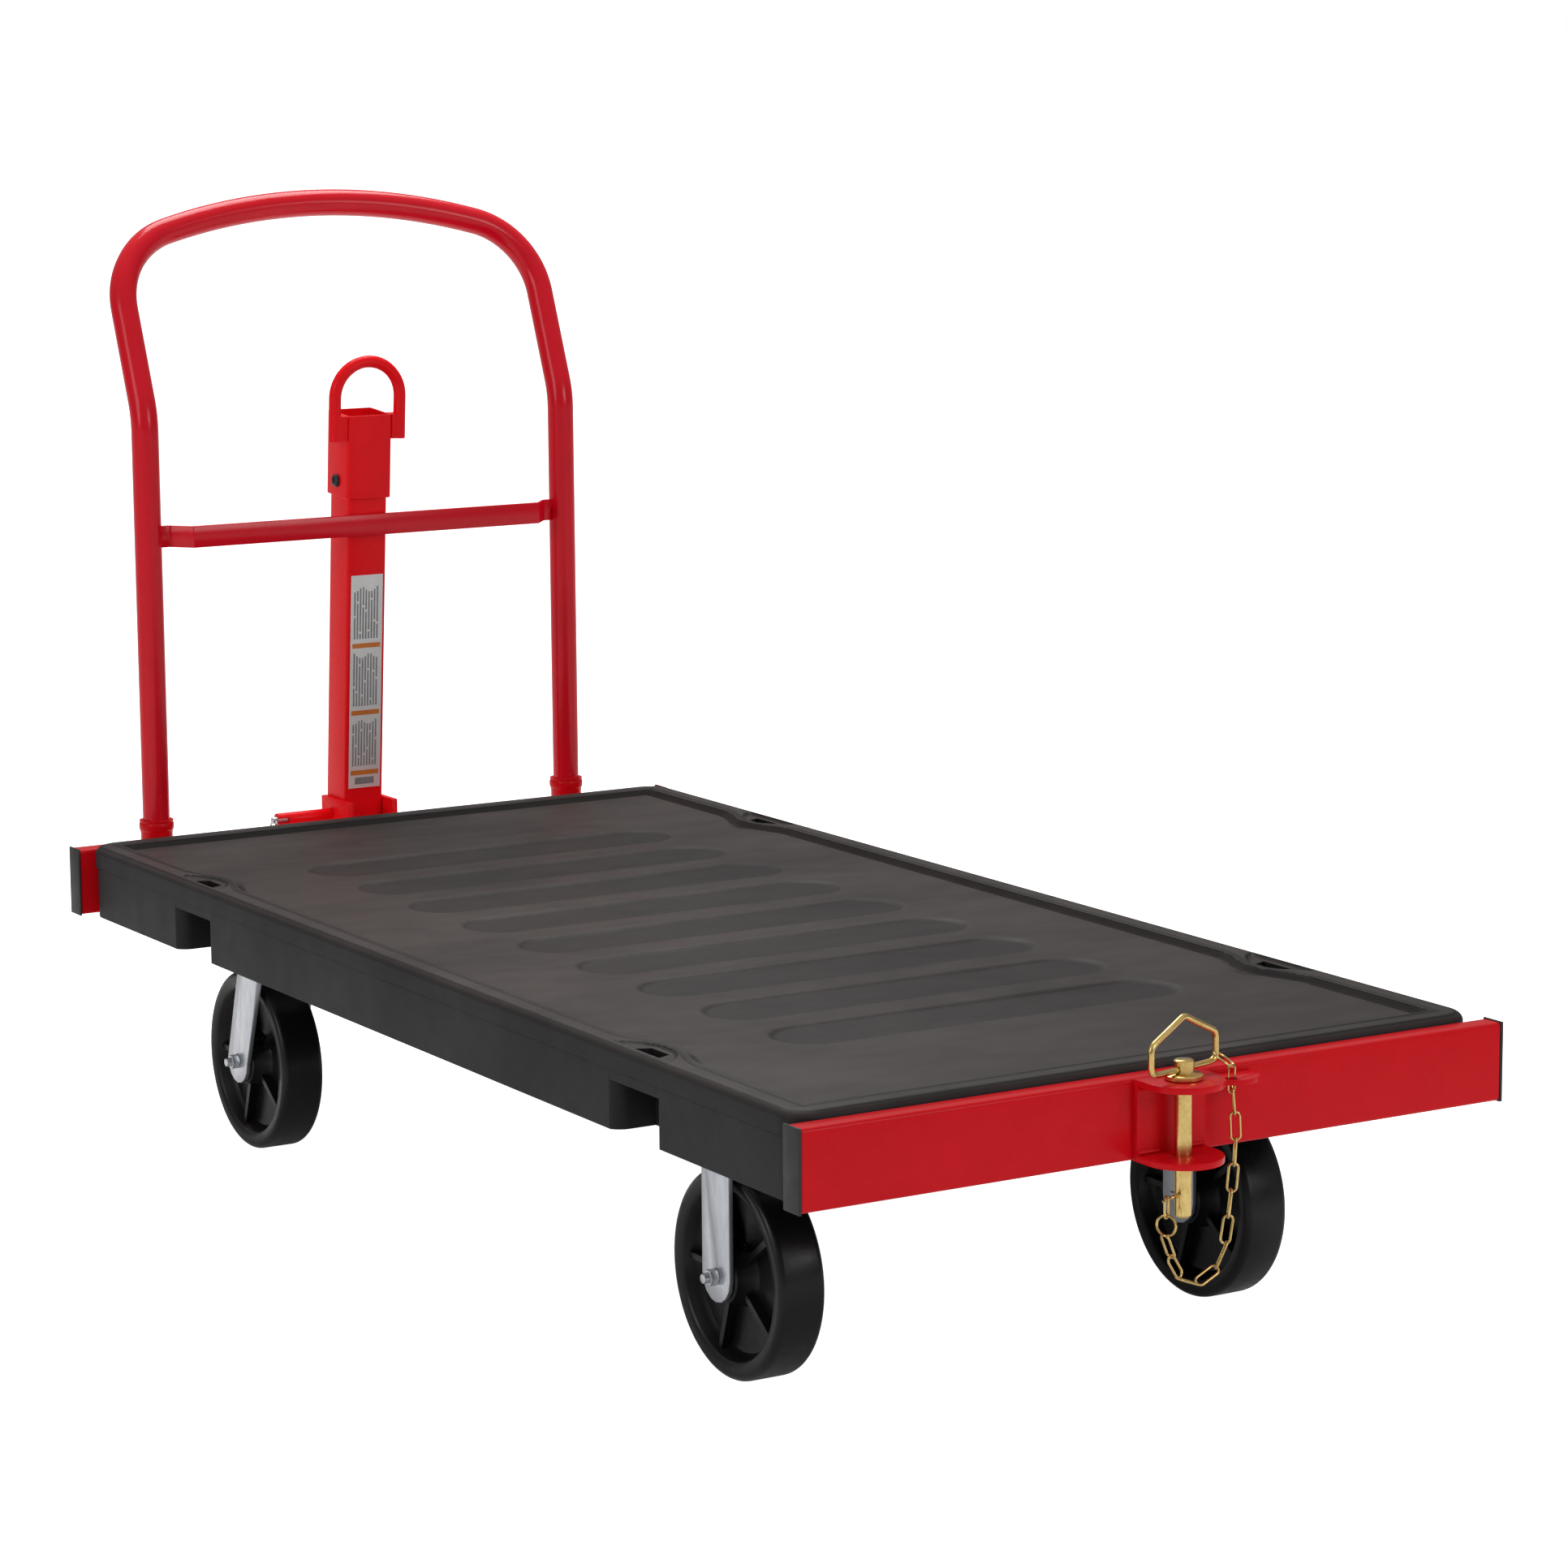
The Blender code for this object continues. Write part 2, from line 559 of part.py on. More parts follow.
# ------------------------------------------------------------------ casters
def wheel(name, x, y):
    half_hub, half_web, half_tread = HUB_LENGTH / 2, WEB_THICKNESS / 2, WHEEL_WIDTH / 2
    bore = BUSH_RADIUS + RUNNING
    outer = WHEEL_RADIUS / math.cos(math.pi / WHEEL_SIDES)     # flats, not corners, lie on the tread circle
    quarter = [
        (bore, half_hub), (HUB_RADIUS, half_hub), (HUB_RADIUS + HUB_TAPER, half_web),
        (TYRE_BORE - TYRE_TAPER[0], half_web), (TYRE_BORE, half_tread - TYRE_TAPER[1]),
        (outer - TREAD_ROUND, half_tread), (outer, half_tread - TREAD_ROUND),
    ]
    profile = quarter + [(radius, -height) for radius, height in reversed(quarter)]
    half_step = Matrix.Rotation(math.pi / WHEEL_SIDES, 4, "X")
    return turned(name, profile, (x, y, WHEEL_RADIUS), WHEEL_BLACK, half_step @ ALONG_X, sides=WHEEL_SIDES)


def leg_outline(top_left, top_right, top, axle_y):
    """A fork leg seen from the side: a strap that narrows to a round end about the axle."""
    return [(top_left, top), *arc(axle_y, WHEEL_RADIUS, LEG_WIDTH / 2, 180, 360, 8), (top_right, top)]


def axle_set(prefix, x, y, outward):
    """Axle bolt, nut and spanner bush; the nut is on the outward side."""
    turn = Matrix.Rotation(-outward * math.pi / 2, 4, "Y")
    seat = Matrix.Translation((x - outward * (LEG_OUTER + GAP), y, WHEEL_RADIUS)) @ turn
    length = 2 * (LEG_OUTER + GAP) + NUT_HEIGHT + BOLT_TAIL
    axle = bolt(f"{prefix}_axle_bolt", (NUT_RADIUS, AXLE_HEAD_HEIGHT), AXLE_RADIUS, length, seat, ZINC)
    nut_centre = (x + outward * (LEG_OUTER + GAP + NUT_HEIGHT / 2), y, WHEEL_RADIUS)
    bush_length = 2 * (LEG_INNER - GAP)
    bush = cylinder(f"{prefix}_bush", BUSH_RADIUS, bush_length, (x, y, WHEEL_RADIUS), BRONZE, ALONG_X, sides=20)
    combine(bush, [cylinder(f"{prefix}_bush_bore", AXLE_RADIUS + GAP, 2 * bush_length, (x, y, WHEEL_RADIUS),
                            turn=ALONG_X, sides=20)])
    return [axle, nut(f"{prefix}_axle_nut", AXLE_RADIUS + GAP, nut_centre, turn), bush]


def fork_legs(prefix, x, outline, body, windowed):
    """Joins two legs to a fork's body and cuts the axle hole and, on a rigid fork, the windows."""
    legs = [
        plate(f"{prefix}_{name}_leg_guide", [outline], LEG_THICKNESS,
              Matrix.Translation((x + side * (LEG_INNER + LEG_THICKNESS / 2), 0, 0)) @ SIDEWAYS)
        for name, side in SIDES.items()
    ]
    join(body, legs)
    axle_y = outline[1][0] + LEG_WIDTH / 2
    cuts = [cylinder(f"{prefix}_axle_hole", AXLE_RADIUS + GAP, 4 * LEG_OUTER, (x, axle_y, WHEEL_RADIUS),
                     turn=ALONG_X, sides=20)]
    if windowed:
        top = CASTER_TOP - FORK_PLATE_SIZE[2] - WINDOW_DROP
        cuts.append(box(f"{prefix}_window_cutter", (4 * LEG_OUTER, *WINDOW), (x, axle_y, top - WINDOW[1] / 2)))
    return combine(body, cuts)


def make_rigid_caster(name, side):
    prefix = f"front_{name}"
    x, y = side * FRONT_WHEEL_PLACE[0], FRONT_WHEEL_PLACE[1]
    thickness = FORK_PLATE_SIZE[2]
    fork = box(f"{prefix}_fork", FORK_PLATE_SIZE, (x, y, CASTER_TOP - thickness / 2), ZINC)
    top = CASTER_TOP - thickness / 2
    fork_legs(prefix, x, leg_outline(y - LEG_WIDTH / 2, y + LEG_WIDTH / 2, top, y), fork, True)
    hardware = axle_set(prefix, x, y, side)
    rolling = wheel(f"{prefix}_wheel", x, y)
    attach(ROOT, [fork, *hardware, rolling])


def make_swivel_caster(name, side):
    prefix = f"rear_{name}"
    x, king_y = side * SWIVEL_PLACE[0], SWIVEL_PLACE[1]
    axle_y = king_y + SWIVEL_LEAD
    thickness = FORK_PLATE_SIZE[2]
    plate_under = CASTER_TOP - thickness
    top_plate = box(f"{prefix}_swivel_plate", FORK_PLATE_SIZE, (x, king_y, CASTER_TOP - thickness / 2), ZINC)
    race = cylinder(f"{prefix}_race_guide", RACE_RADIUS, RACE_HEIGHT + thickness / 2,
                    (x, king_y, plate_under + thickness / 2 - (RACE_HEIGHT + thickness / 2) / 2), sides=24)
    join(top_plate, [race])
    combine(top_plate, [cylinder(f"{prefix}_king_bore", KINGPIN_RADIUS + GAP, 8 * thickness,
                                 (x, king_y, CASTER_TOP), sides=20)])

    crown_top = plate_under - RACE_HEIGHT - BALL_GAP
    around, beside = CROWN_MARGIN
    fork = cylinder(f"{prefix}_fork", RACE_RADIUS + around, CROWN_HEIGHT,
                    (x, king_y, crown_top - CROWN_HEIGHT / 2), ZINC, sides=24)
    half_top = LEG_WIDTH / 2 + beside
    outline = leg_outline(king_y - half_top, king_y + half_top, crown_top - CROWN_HEIGHT / 2, axle_y)
    fork_legs(prefix, x, outline, fork, False)
    king_hole = cylinder(f"{prefix}_king_hole", KINGPIN_RADIUS + RUNNING, 4 * CROWN_HEIGHT,
                         (x, king_y, crown_top), sides=20)
    combine(fork, [king_hole])

    nut_radius, nut_height = KINGPIN_NUT
    nut_top = crown_top - CROWN_HEIGHT - GAP
    pin_top = CASTER_TOP - KINGPIN_SINK
    kingpin = turned(f"{prefix}_kingpin", [
        (0.0, pin_top), (KINGPIN_RADIUS, pin_top), (KINGPIN_RADIUS, nut_top), (nut_radius, nut_top),
        (nut_radius, nut_top - nut_height), (0.0, nut_top - nut_height)], (x, king_y, 0.0), ZINC, sides=20)

    hardware = axle_set(prefix, x, axle_y, side)
    rolling = wheel(f"{prefix}_wheel", x, axle_y)
    attach(ROOT, [top_plate, kingpin])
    swivel = axis_point(f"{prefix}_swivel_axis", (x, king_y, crown_top), ROOT)
    attach(swivel, [fork, *hardware, rolling])


# ------------------------------------------------------------------ push handle
def handle_line():
    """Centreline of the bent handle tube, from the left leg's foot over the crown to the right leg's foot."""
    lean, slope, corner = HANDLE_LEAN, HANDLE_CROWN_SLOPE, HANDLE_CORNER_RADIUS
    foot = SOCKET_TOP - SOCKET_DEPTH + HANDLE_FOOT
    corner_end = HANDLE_OFFSET - corner + corner * math.sin(slope)
    crown_radius = corner_end / math.sin(slope)
    crown_rise = crown_radius * (1 - math.cos(slope))
    corner_start = HANDLE_TOP_RISE - crown_rise - corner * math.cos(slope)

    def leaning(x, along):
        return (x, HANDLE_LINE + along * math.sin(lean), HANDLE_BEND_HEIGHT + along * math.cos(lean))

    half = [(HANDLE_OFFSET, HANDLE_LINE, foot), (HANDLE_OFFSET, HANDLE_LINE, CROSSBAR_HEIGHT)]
    bend_base = HANDLE_BEND_HEIGHT - HANDLE_BEND_RADIUS * math.tan(lean / 2)
    for i in range(4):
        angle = lean * i / 3
        half.append((HANDLE_OFFSET, HANDLE_LINE + HANDLE_BEND_RADIUS * (1 - math.cos(angle)),
                     bend_base + HANDLE_BEND_RADIUS * math.sin(angle)))
    for i in range(7):
        angle = (math.pi / 2 - slope) * i / 6
        half.append(leaning(HANDLE_OFFSET - corner + corner * math.cos(angle),
                            corner_start + corner * math.sin(angle)))
    for i in range(1, 4):
        angle = slope * (1 - i / 3)
        half.append(leaning(crown_radius * math.sin(angle),
                            HANDLE_TOP_RISE - crown_radius * (1 - math.cos(angle))))
    return [(-x, y, z) for x, y, z in half] + [(x, y, z) for x, y, z in reversed(half[:-1])]


def make_handle():
    line = handle_line()
    tube = bar("push_handle", line, HANDLE_RADIUS, HANDLE_RED, rounding=4)
    past_foot = Vector((0.0, 0.0, -HANDLE_RADIUS))
    bore_line = [Vector(line[0]) + past_foot, *line[1:-1], Vector(line[-1]) + past_foot]
    combine(tube, [bar("push_handle_bore", bore_line, HANDLE_RADIUS - HANDLE_WALL, rounding=2)])

    made = [tube]
    for name, side in SIDES.items():
        base = SOCKET_TOP - SOCKET_DEPTH
        floor = base + SOCKET_FLOOR
        inner, outer = HANDLE_RADIUS + GAP, SOCKET_RADIUS
        flared = outer + SOCKET_FLARE
        lip, above_rim, below_rim = SOCKET_BAND
        cup = [
            (0.0, floor), (inner, floor), (inner, SOCKET_TOP), (outer, SOCKET_TOP), (flared, SOCKET_TOP - lip),
            (flared, RIM_TOP + above_rim), (outer, RIM_TOP - below_rim), (outer, base), (0.0, base),
        ]
        made.append(turned(f"handle_socket_{name}", cup, (side * HANDLE_OFFSET, HANDLE_LINE, 0.0), FRAME_RED,
                           sides=20))

    # A flat strap whose ends are stepped back to the legs, so that its middle clears the tow bar.
    tow_middle = TOW_PIVOT - (CROSSBAR_HEIGHT - TOW_PIVOT_HEIGHT) * math.tan(TOW_LEAN)
    tow_face = tow_middle - TOW_TUBE / 2 / math.cos(TOW_LEAN)
    strap_line = tow_face - CROSSBAR_WIDTH / 2 * math.tan(TOW_LEAN) - CROSSBAR_THICKNESS / 2 - 2 * GAP
    end_x = HANDLE_OFFSET - HANDLE_RADIUS - GAP
    half = CROSSBAR_THICKNESS / 2
    middle = [(end_x, HANDLE_LINE), (end_x - CROSSBAR_TAB, HANDLE_LINE),
              (end_x - CROSSBAR_TAB - CROSSBAR_STEP, strap_line)]
    path = [(-x, y) for x, y in middle] + middle[::-1]
    outline = [(x, y - half) for x, y in path] + [(x, y + half) for x, y in path[::-1]]
    made.append(plate("handle_crossbar", [outline], CROSSBAR_WIDTH, at(CROSSBAR_HEIGHT), HANDLE_RED))
    attach(ROOT, made)


# ------------------------------------------------------------------ tow bar at the rear
def make_tow_bracket():
    """Two cheeks on a web, welded to the rear member's face."""
    web_y = REAR_FACE + GAP
    back = TOW_PIVOT + CHEEK_BEHIND_PIVOT
    top = MEMBER_BOTTOM + CHEEK_HEIGHT
    lower_corner = arc(back - CHEEK_ROUND, MEMBER_BOTTOM + CHEEK_ROUND, CHEEK_ROUND, 270, 360, 4)
    outline = [(web_y, MEMBER_BOTTOM), *lower_corner, (back, top), (web_y, top)]
    bracket = box("tow_bracket", (2 * CHEEK_INNER + CHEEK_THICKNESS, BRACKET_WEB, MEMBER_HEIGHT - 0.002),
                  (0, web_y + BRACKET_WEB / 2 + 0.0002, MEMBER_BOTTOM + MEMBER_HEIGHT / 2), TOW_RED)
    cheeks = [
        plate(f"tow_cheek_guide_{name}", [outline], CHEEK_THICKNESS,
              Matrix.Translation((side * (CHEEK_INNER + CHEEK_THICKNESS / 2), 0, 0)) @ SIDEWAYS)
        for name, side in SIDES.items()
    ]
    join(bracket, cheeks)
    holes = [
        cylinder("tow_pivot_hole", TOW_BOLT_RADIUS + RUNNING, 4 * CHEEK_OUTER, (0, TOW_PIVOT, TOW_PIVOT_HEIGHT),
                 turn=ALONG_X),
        cylinder("tow_latch_hole", LATCH_PIN_RADIUS + RUNNING, 4 * CHEEK_THICKNESS,
                 (-CHEEK_OUTER, LATCH_LINE, LATCH_HEIGHT), turn=ALONG_X),
    ]
    combine(bracket, holes)
    bolt_length = 2 * (CHEEK_OUTER + GAP) + NUT_HEIGHT + TOW_BOLT_TAIL
    seat = Matrix.Translation((CHEEK_OUTER + GAP, TOW_PIVOT, TOW_PIVOT_HEIGHT)) @ ALONG_X
    pivot_bolt = bolt("tow_pivot_bolt", TOW_BOLT_HEAD, TOW_BOLT_RADIUS, bolt_length, seat, ZINC)
    nut_place = (-CHEEK_OUTER - GAP - NUT_HEIGHT / 2, TOW_PIVOT, TOW_PIVOT_HEIGHT)
    pivot_nut = cylinder("tow_pivot_nut", TOW_BOLT_HEAD[0], NUT_HEIGHT, nut_place, ZINC, ALONG_X, sides=6)
    combine(pivot_nut, [cylinder("tow_pivot_nut_bore", TOW_BOLT_RADIUS + GAP, 3 * NUT_HEIGHT, nut_place,
                                 turn=ALONG_X)])
    attach(ROOT, [bracket, pivot_bolt, pivot_nut])


def make_tow_bar():
    """Built upright about its pivot, then leant towards the handle's crossbar."""
    pivot = axis_point("tow_pivot_axis", (0, TOW_PIVOT, TOW_PIVOT_HEIGHT), ROOT)
    base = Vector((0, TOW_PIVOT, TOW_PIVOT_HEIGHT))

    def up(distance, forward=0.0, x=0.0):
        return base + Vector((x, -forward, distance))

    length = TOW_TUBE_LENGTH + TOW_TAIL
    tube = tube_along("tow_bar", (TOW_TUBE, TOW_TUBE, length), TOW_WALL, 2, up(length / 2 - TOW_TAIL), TOW_RED)
    combine(tube, [cylinder("tow_bar_pivot_hole", TOW_BOLT_RADIUS + RUNNING, 2 * TOW_TUBE, base, turn=ALONG_X)])

    sleeve = tube_along("tow_head_sleeve", (SLEEVE_OUTER, SLEEVE_OUTER, SLEEVE_LENGTH), SLEEVE_WALL, 2,
                        up(SLEEVE_BASE + SLEEVE_LENGTH / 2), TOW_RED)
    bolts = []
    left = Matrix.Rotation(-math.pi / 2, 4, "Y")
    for name, rise in zip(("lower", "upper"), SLEEVE_BOLTS):
        centre = up(SLEEVE_BASE + rise)
        for target in (tube, sleeve):
            combine(target, [cylinder(f"{target.name}_{name}_bolt_hole", SLEEVE_BOLT_RADIUS + GAP,
                                      2 * SLEEVE_OUTER, centre, turn=ALONG_X, sides=16)])
        seat = Matrix.Translation(centre + Vector((-SLEEVE_OUTER / 2 - GAP, 0, 0))) @ left
        bolts.append(bolt(f"tow_head_bolt_{name}", SLEEVE_BOLT_HEAD, SLEEVE_BOLT_RADIUS,
                          SLEEVE_OUTER + SLEEVE_BOLT_TAIL, seat, DARK_STEEL, head_sides=16))

    leg_x = EYE_HALF_SPAN
    line = [up(EYE_LEG_BASE, EYE_FORWARD, -leg_x)]
    line += [up(EYE_BEND_CENTRE + z, EYE_FORWARD, x) for x, z in arc(0, 0, leg_x, 180, 0, 14)]
    line += [up(EYE_LEG_BASE, EYE_FORWARD, leg_x)]
    eye = bar("tow_eye", line, EYE_BAR_RADIUS, TOW_RED, rounding=3)
    pad_inner = SLEEVE_OUTER / 2 + GAP
    pad_width = leg_x - pad_inner
    pad_depth, pad_height = EYE_PAD
    pads = [
        box(f"tow_eye_pad_guide_{name}", (pad_width, pad_depth, pad_height),
            up(EYE_LEG_BASE + pad_height / 2 + 0.0005, EYE_FORWARD, side * (pad_inner + pad_width / 2)))
        for name, side in SIDES.items()
    ]
    join(eye, pads)

    label_centre = up(LABEL_BASE + LABEL_SIZE[2] / 2, TOW_TUBE / 2 + GAP + LABEL_SIZE[1] / 2)
    label = box("tow_bar_label", LABEL_SIZE, label_centre, LABEL_WHITE)
    attach(pivot, [tube, sleeve, *bolts, eye, label])
    pivot.rotation_euler = (TOW_LEAN, 0.0, 0.0)


def make_latch():
    """A spring plunger in a tube on the left cheek; its ring is pulled outwards to free the tow bar."""
    outer, inner = LATCH_TUBE
    root_x = -CHEEK_OUTER - GAP
    tip_x = root_x - LATCH_LENGTH
    middle = Vector(((root_x + tip_x) / 2, LATCH_LINE, LATCH_HEIGHT))
    neck = LATCH_PIN_RADIUS + RUNNING
    half = LATCH_LENGTH / 2
    # Along its turned Z axis, +Z being outwards: a bore that narrows to a shoulder before the slotted end.
    slot_end = LATCH_SLOT[0]
    profile = [
        (outer, half), (outer, -half), (inner, -half), (inner, half - slot_end - LATCH_SHOULDER),
        (neck, half - slot_end - LATCH_SHOULDER), (neck, half),
    ]
    outwards = Matrix.Rotation(-math.pi / 2, 4, "Y")
    housing = turned("latch_housing", profile, middle, TOW_RED, outwards, sides=20)
    combine(housing, [box("latch_slot_cutter", (2 * slot_end, 4 * outer, LATCH_SLOT[1]),
                          (tip_x, LATCH_LINE, LATCH_HEIGHT))])

    nose_x = -CHEEK_INNER - LATCH_NOSE_GAP
    tail_x = tip_x - LATCH_TAIL
    collar_radius, collar_length = LATCH_COLLAR
    collar = root_x - LATCH_COLLAR_GAP - collar_length
    top = nose_x - tail_x
    collar_from, collar_to = nose_x - collar - collar_length, nose_x - collar
    pin_profile = [
        (0.0, top), (LATCH_PIN_RADIUS, top), (LATCH_PIN_RADIUS, collar_to), (collar_radius, collar_to),
        (collar_radius, collar_from), (LATCH_PIN_RADIUS, collar_from), (LATCH_PIN_RADIUS, 0.0), (0.0, 0.0),
    ]
    pin = turned("latch_pin", pin_profile, (nose_x, LATCH_LINE, LATCH_HEIGHT), ZINC, outwards, sides=16)
    ring_radius, ring_wire = LATCH_RING
    ring_x = tail_x + LATCH_RING_INSET
    combine(pin, [cylinder("latch_ring_hole", LATCH_RING_HOLE, 4 * LATCH_PIN_RADIUS,
                           (ring_x, LATCH_LINE, LATCH_HEIGHT), turn=ALONG_Y, sides=12)])

    ring_centre = Vector((ring_x, LATCH_LINE, LATCH_HEIGHT - ring_radius))
    circle = arc(0, 0, ring_radius, 90, 450, 16)[:-1]
    points = [ring_centre + Vector((0, y, z)) for y, z in circle]
    ring = bar("latch_ring", points, ring_wire, ZINC, rounding=2, closed=True)

    spring_from = tip_x + slot_end + LATCH_SHOULDER + SPRING_WIRE + GAP
    spring_to = collar - SPRING_WIRE - GAP
    coil = (LATCH_PIN_RADIUS + inner) / 2
    steps = 8 * SPRING_TURNS
    helix = [
        (spring_from + (spring_to - spring_from) * i / steps,
         LATCH_LINE + coil * math.cos(math.pi * i / 4), LATCH_HEIGHT + coil * math.sin(math.pi * i / 4))
        for i in range(steps + 1)
    ]
    spring = bar("latch_spring", helix, SPRING_WIRE, ZINC, rounding=1)
    attach(ROOT, [housing, spring])
    sliding = axis_point("latch_pull_axis", (nose_x, LATCH_LINE, LATCH_HEIGHT), ROOT)
    attach(sliding, [pin])
    swinging = axis_point("latch_ring_axis", (ring_x, LATCH_LINE, LATCH_HEIGHT), sliding)
    attach(swinging, [ring])


# ------------------------------------------------------------------ hitch at the front
def make_hitch():
    face = FRONT_FACE - GAP
    half = CLEVIS_WIDTH / 2
    clevis = box("hitch_clevis", (CLEVIS_WIDTH, CLEVIS_PLATE, MEMBER_HEIGHT - 0.0002),
                 (0, face - CLEVIS_PLATE / 2, MEMBER_BOTTOM + MEMBER_HEIGHT / 2), FRAME_RED)
    nose, root = half - GAP / 3, face - CLEVIS_PLATE / 6
    outline = [(nose, root), (-nose, root), *arc(0, PIN_LINE, nose, 180, 360, 14)]
    lugs = [
        plate(f"hitch_{name}_lug_guide", [outline], CLEVIS_PLATE, at(z))
        for name, z in (("lower", MEMBER_BOTTOM + CLEVIS_PLATE / 2), ("upper", MEMBER_TOP - CLEVIS_PLATE / 2))
    ]
    join(clevis, lugs)
    combine(clevis, [cylinder("hitch_hole", PIN_RADIUS + RUNNING, 2 * MEMBER_HEIGHT,
                              (0, PIN_LINE, MEMBER_BOTTOM))])

    nose = TAB_WIDTH / 2
    tab_y = face - TAB_REACH + nose
    tab_outline = [(TAB_PLACE + nose, face), (TAB_PLACE - nose, face),
                   *arc(TAB_PLACE, tab_y, nose, 180, 360, 10)]
    tab = plate("chain_tab", [tab_outline], TAB_THICKNESS, at(TAB_TOP - TAB_THICKNESS / 2), FRAME_RED)
    hole_x, hole_forward, hole_radius = TAB_HOLE
    combine(tab, [cylinder("chain_tab_hole", hole_radius, 4 * TAB_THICKNESS,
                           (hole_x, FRONT_FACE + hole_forward, TAB_TOP), sides=16)])
    attach(ROOT, [clevis, tab])


def make_hitch_pin():
    flange_radius, flange_height = PIN_FLANGE
    head_radius, head_height = PIN_HEAD
    foot = FLANGE_BASE - PIN_LENGTH
    flange_top = FLANGE_BASE + flange_height
    profile = [
        (0.0, flange_top + head_height), (head_radius, flange_top + head_height), (head_radius, flange_top),
        (flange_radius, flange_top), (flange_radius, FLANGE_BASE), (PIN_RADIUS, FLANGE_BASE),
        (PIN_RADIUS, foot + PIN_POINT), (PIN_RADIUS - PIN_POINT, foot), (0.0, foot),
    ]
    pin = turned("hitch_pin", profile, (0, PIN_LINE, 0), GOLD_ZINC, sides=24)
    along = Matrix.Rotation(BAIL_TURN, 4, "Z")
    across = along @ ALONG_X
    combine(pin, [
        cylinder("hitch_pin_bail_hole", BAIL_RADIUS + RUNNING, 4 * head_radius, (0, PIN_LINE, BAIL_HEIGHT),
                 turn=across, sides=16),
        cylinder("hitch_pin_clip_hole", CLIP_WIRE + RUNNING, 4 * PIN_RADIUS, (0, PIN_LINE, PIN_HOLE_HEIGHT),
                 turn=Matrix.Rotation(CLIP_TURN, 4, "Z") @ ALONG_X, sides=12),
    ])
    lifting = axis_point("hitch_pin_axis", (0, PIN_LINE, FLANGE_BASE), ROOT)
    attach(lifting, [pin])

    # The bail is one wire bent to a five-sided loop, whose bottom run passes through the pin's head.
    span, shoulder, peak, corner = BAIL_HALF_SPAN, BAIL_SHOULDER, BAIL_PEAK, BAIL_CORNER
    loop = [
        (0.0, 0.0), (span - corner, 0.0), (span, corner), (span, shoulder - corner / 2),
        (span - corner, shoulder + corner / 2), (corner, peak), (-corner, peak),
        (-span + corner, shoulder + corner / 2), (-span, shoulder - corner / 2), (-span, corner),
        (-span + corner, 0.0),
    ]
    turn = Matrix.Translation((0, PIN_LINE, BAIL_HEIGHT)) @ along
    bail = bar("hitch_bail", [turn @ Vector((x, 0.0, z)) for x, z in loop], BAIL_RADIUS, GOLD_ZINC, rounding=2,
               closed=True)
    swinging = axis_point("hitch_bail_axis", (0, PIN_LINE, BAIL_HEIGHT), lifting)
    attach(swinging, [bail])

    # A hairpin: one leg through the pin's cross hole, the other behind the pin, joined by an eye on the left.
    along = Matrix.Rotation(CLIP_TURN, 4, "Z")
    clear = PIN_RADIUS + CLIP_WIRE + 2 * RUNNING
    turn = Matrix.Translation((0, PIN_LINE, PIN_HOLE_HEIGHT)) @ along
    eye_x, eye = -CLIP_RISE - PIN_RADIUS, clear / 2
    hairpin = [(CLIP_SHANK - PIN_RADIUS, 0.0), (eye_x, 0.0)]
    hairpin += [(eye_x - y, eye - x) for x, y in arc(0, 0, eye, 0, 180, 8)[1:]]
    hairpin += [(PIN_RADIUS, clear), (PIN_RADIUS + CLIP_FLARE, clear + CLIP_FLARE / 2)]
    clip = bar("hitch_clip", [turn @ Vector((x, y, -CLIP_DROOP * y)) for x, y in hairpin], CLIP_WIRE, GOLD_ZINC,
               rounding=2)
    pulling = axis_point("hitch_clip_axis", (0, PIN_LINE, PIN_HOLE_HEIGHT), lifting)

    # A small link hangs on the eye, and the ring that ends the chain hangs on the link, square to it.
    ring_radius, wire = RING_SIZE
    link_radius, link_straight = LINK_SIZE
    hold = CLIP_WIRE + wire + GAP
    link_x = eye_x - eye
    link_top = -CLIP_DROOP * eye + hold * math.hypot(1.0, CLIP_DROOP)
    half = link_straight / 2
    link_middle = link_top - link_radius - half
    sides = [(x, half + z) for x, z in arc(0, 0, link_radius, 0, 180, 6)]
    sides += [(x, z - half) for x, z in arc(0, 0, link_radius, 180, 360, 6)]
    link_points = [turn @ Vector((link_x + x, eye, link_middle + z)) for x, z in sides]
    link = bar("clip_link", link_points, wire, GOLD_ZINC, rounding=2, closed=True)
    ring_middle = link_middle - half - link_radius + 2 * wire + GAP - ring_radius
    circle = arc(0, 0, ring_radius, 90, 450, 16)[:-1]
    ring_points = [turn @ Vector((link_x, eye + y, ring_middle + z)) for y, z in circle]
    ring = bar("clip_ring", ring_points, wire, GOLD_ZINC, rounding=2, closed=True)
    attach(pulling, [clip, link, ring])


def make_chain():
    """The whole chain as one cord along its hanging route."""
    route = [Vector(point) for point in CHAIN_ROUTE]
    line = []
    for before, start, end, after in zip([route[0]] + route, route, route[1:], route[2:] + [route[-1]]):
        for step in range(2):
            t = step / 2
            square = 2 * before - 5 * start + 4 * end - after
            cube = 3 * start - 3 * end + after - before
            line.append((2 * start + (end - before) * t + square * t ** 2 + cube * t ** 3) / 2)
    line.append(route[-1])
    chain = bar("safety_chain", line, CHAIN_RADIUS, GOLD_ZINC, rounding=2)
    attach(ROOT, [chain])


# ------------------------------------------------------------------ assembly
attach(ROOT, [make_deck()])
attach(ROOT, make_frame())
for side_name, side_sign in SIDES.items():
    make_rigid_caster(side_name, side_sign)
    make_swivel_caster(side_name, side_sign)
make_handle()
make_tow_bracket()
make_tow_bar()
make_latch()
make_hitch()
make_hitch_pin()
make_chain()


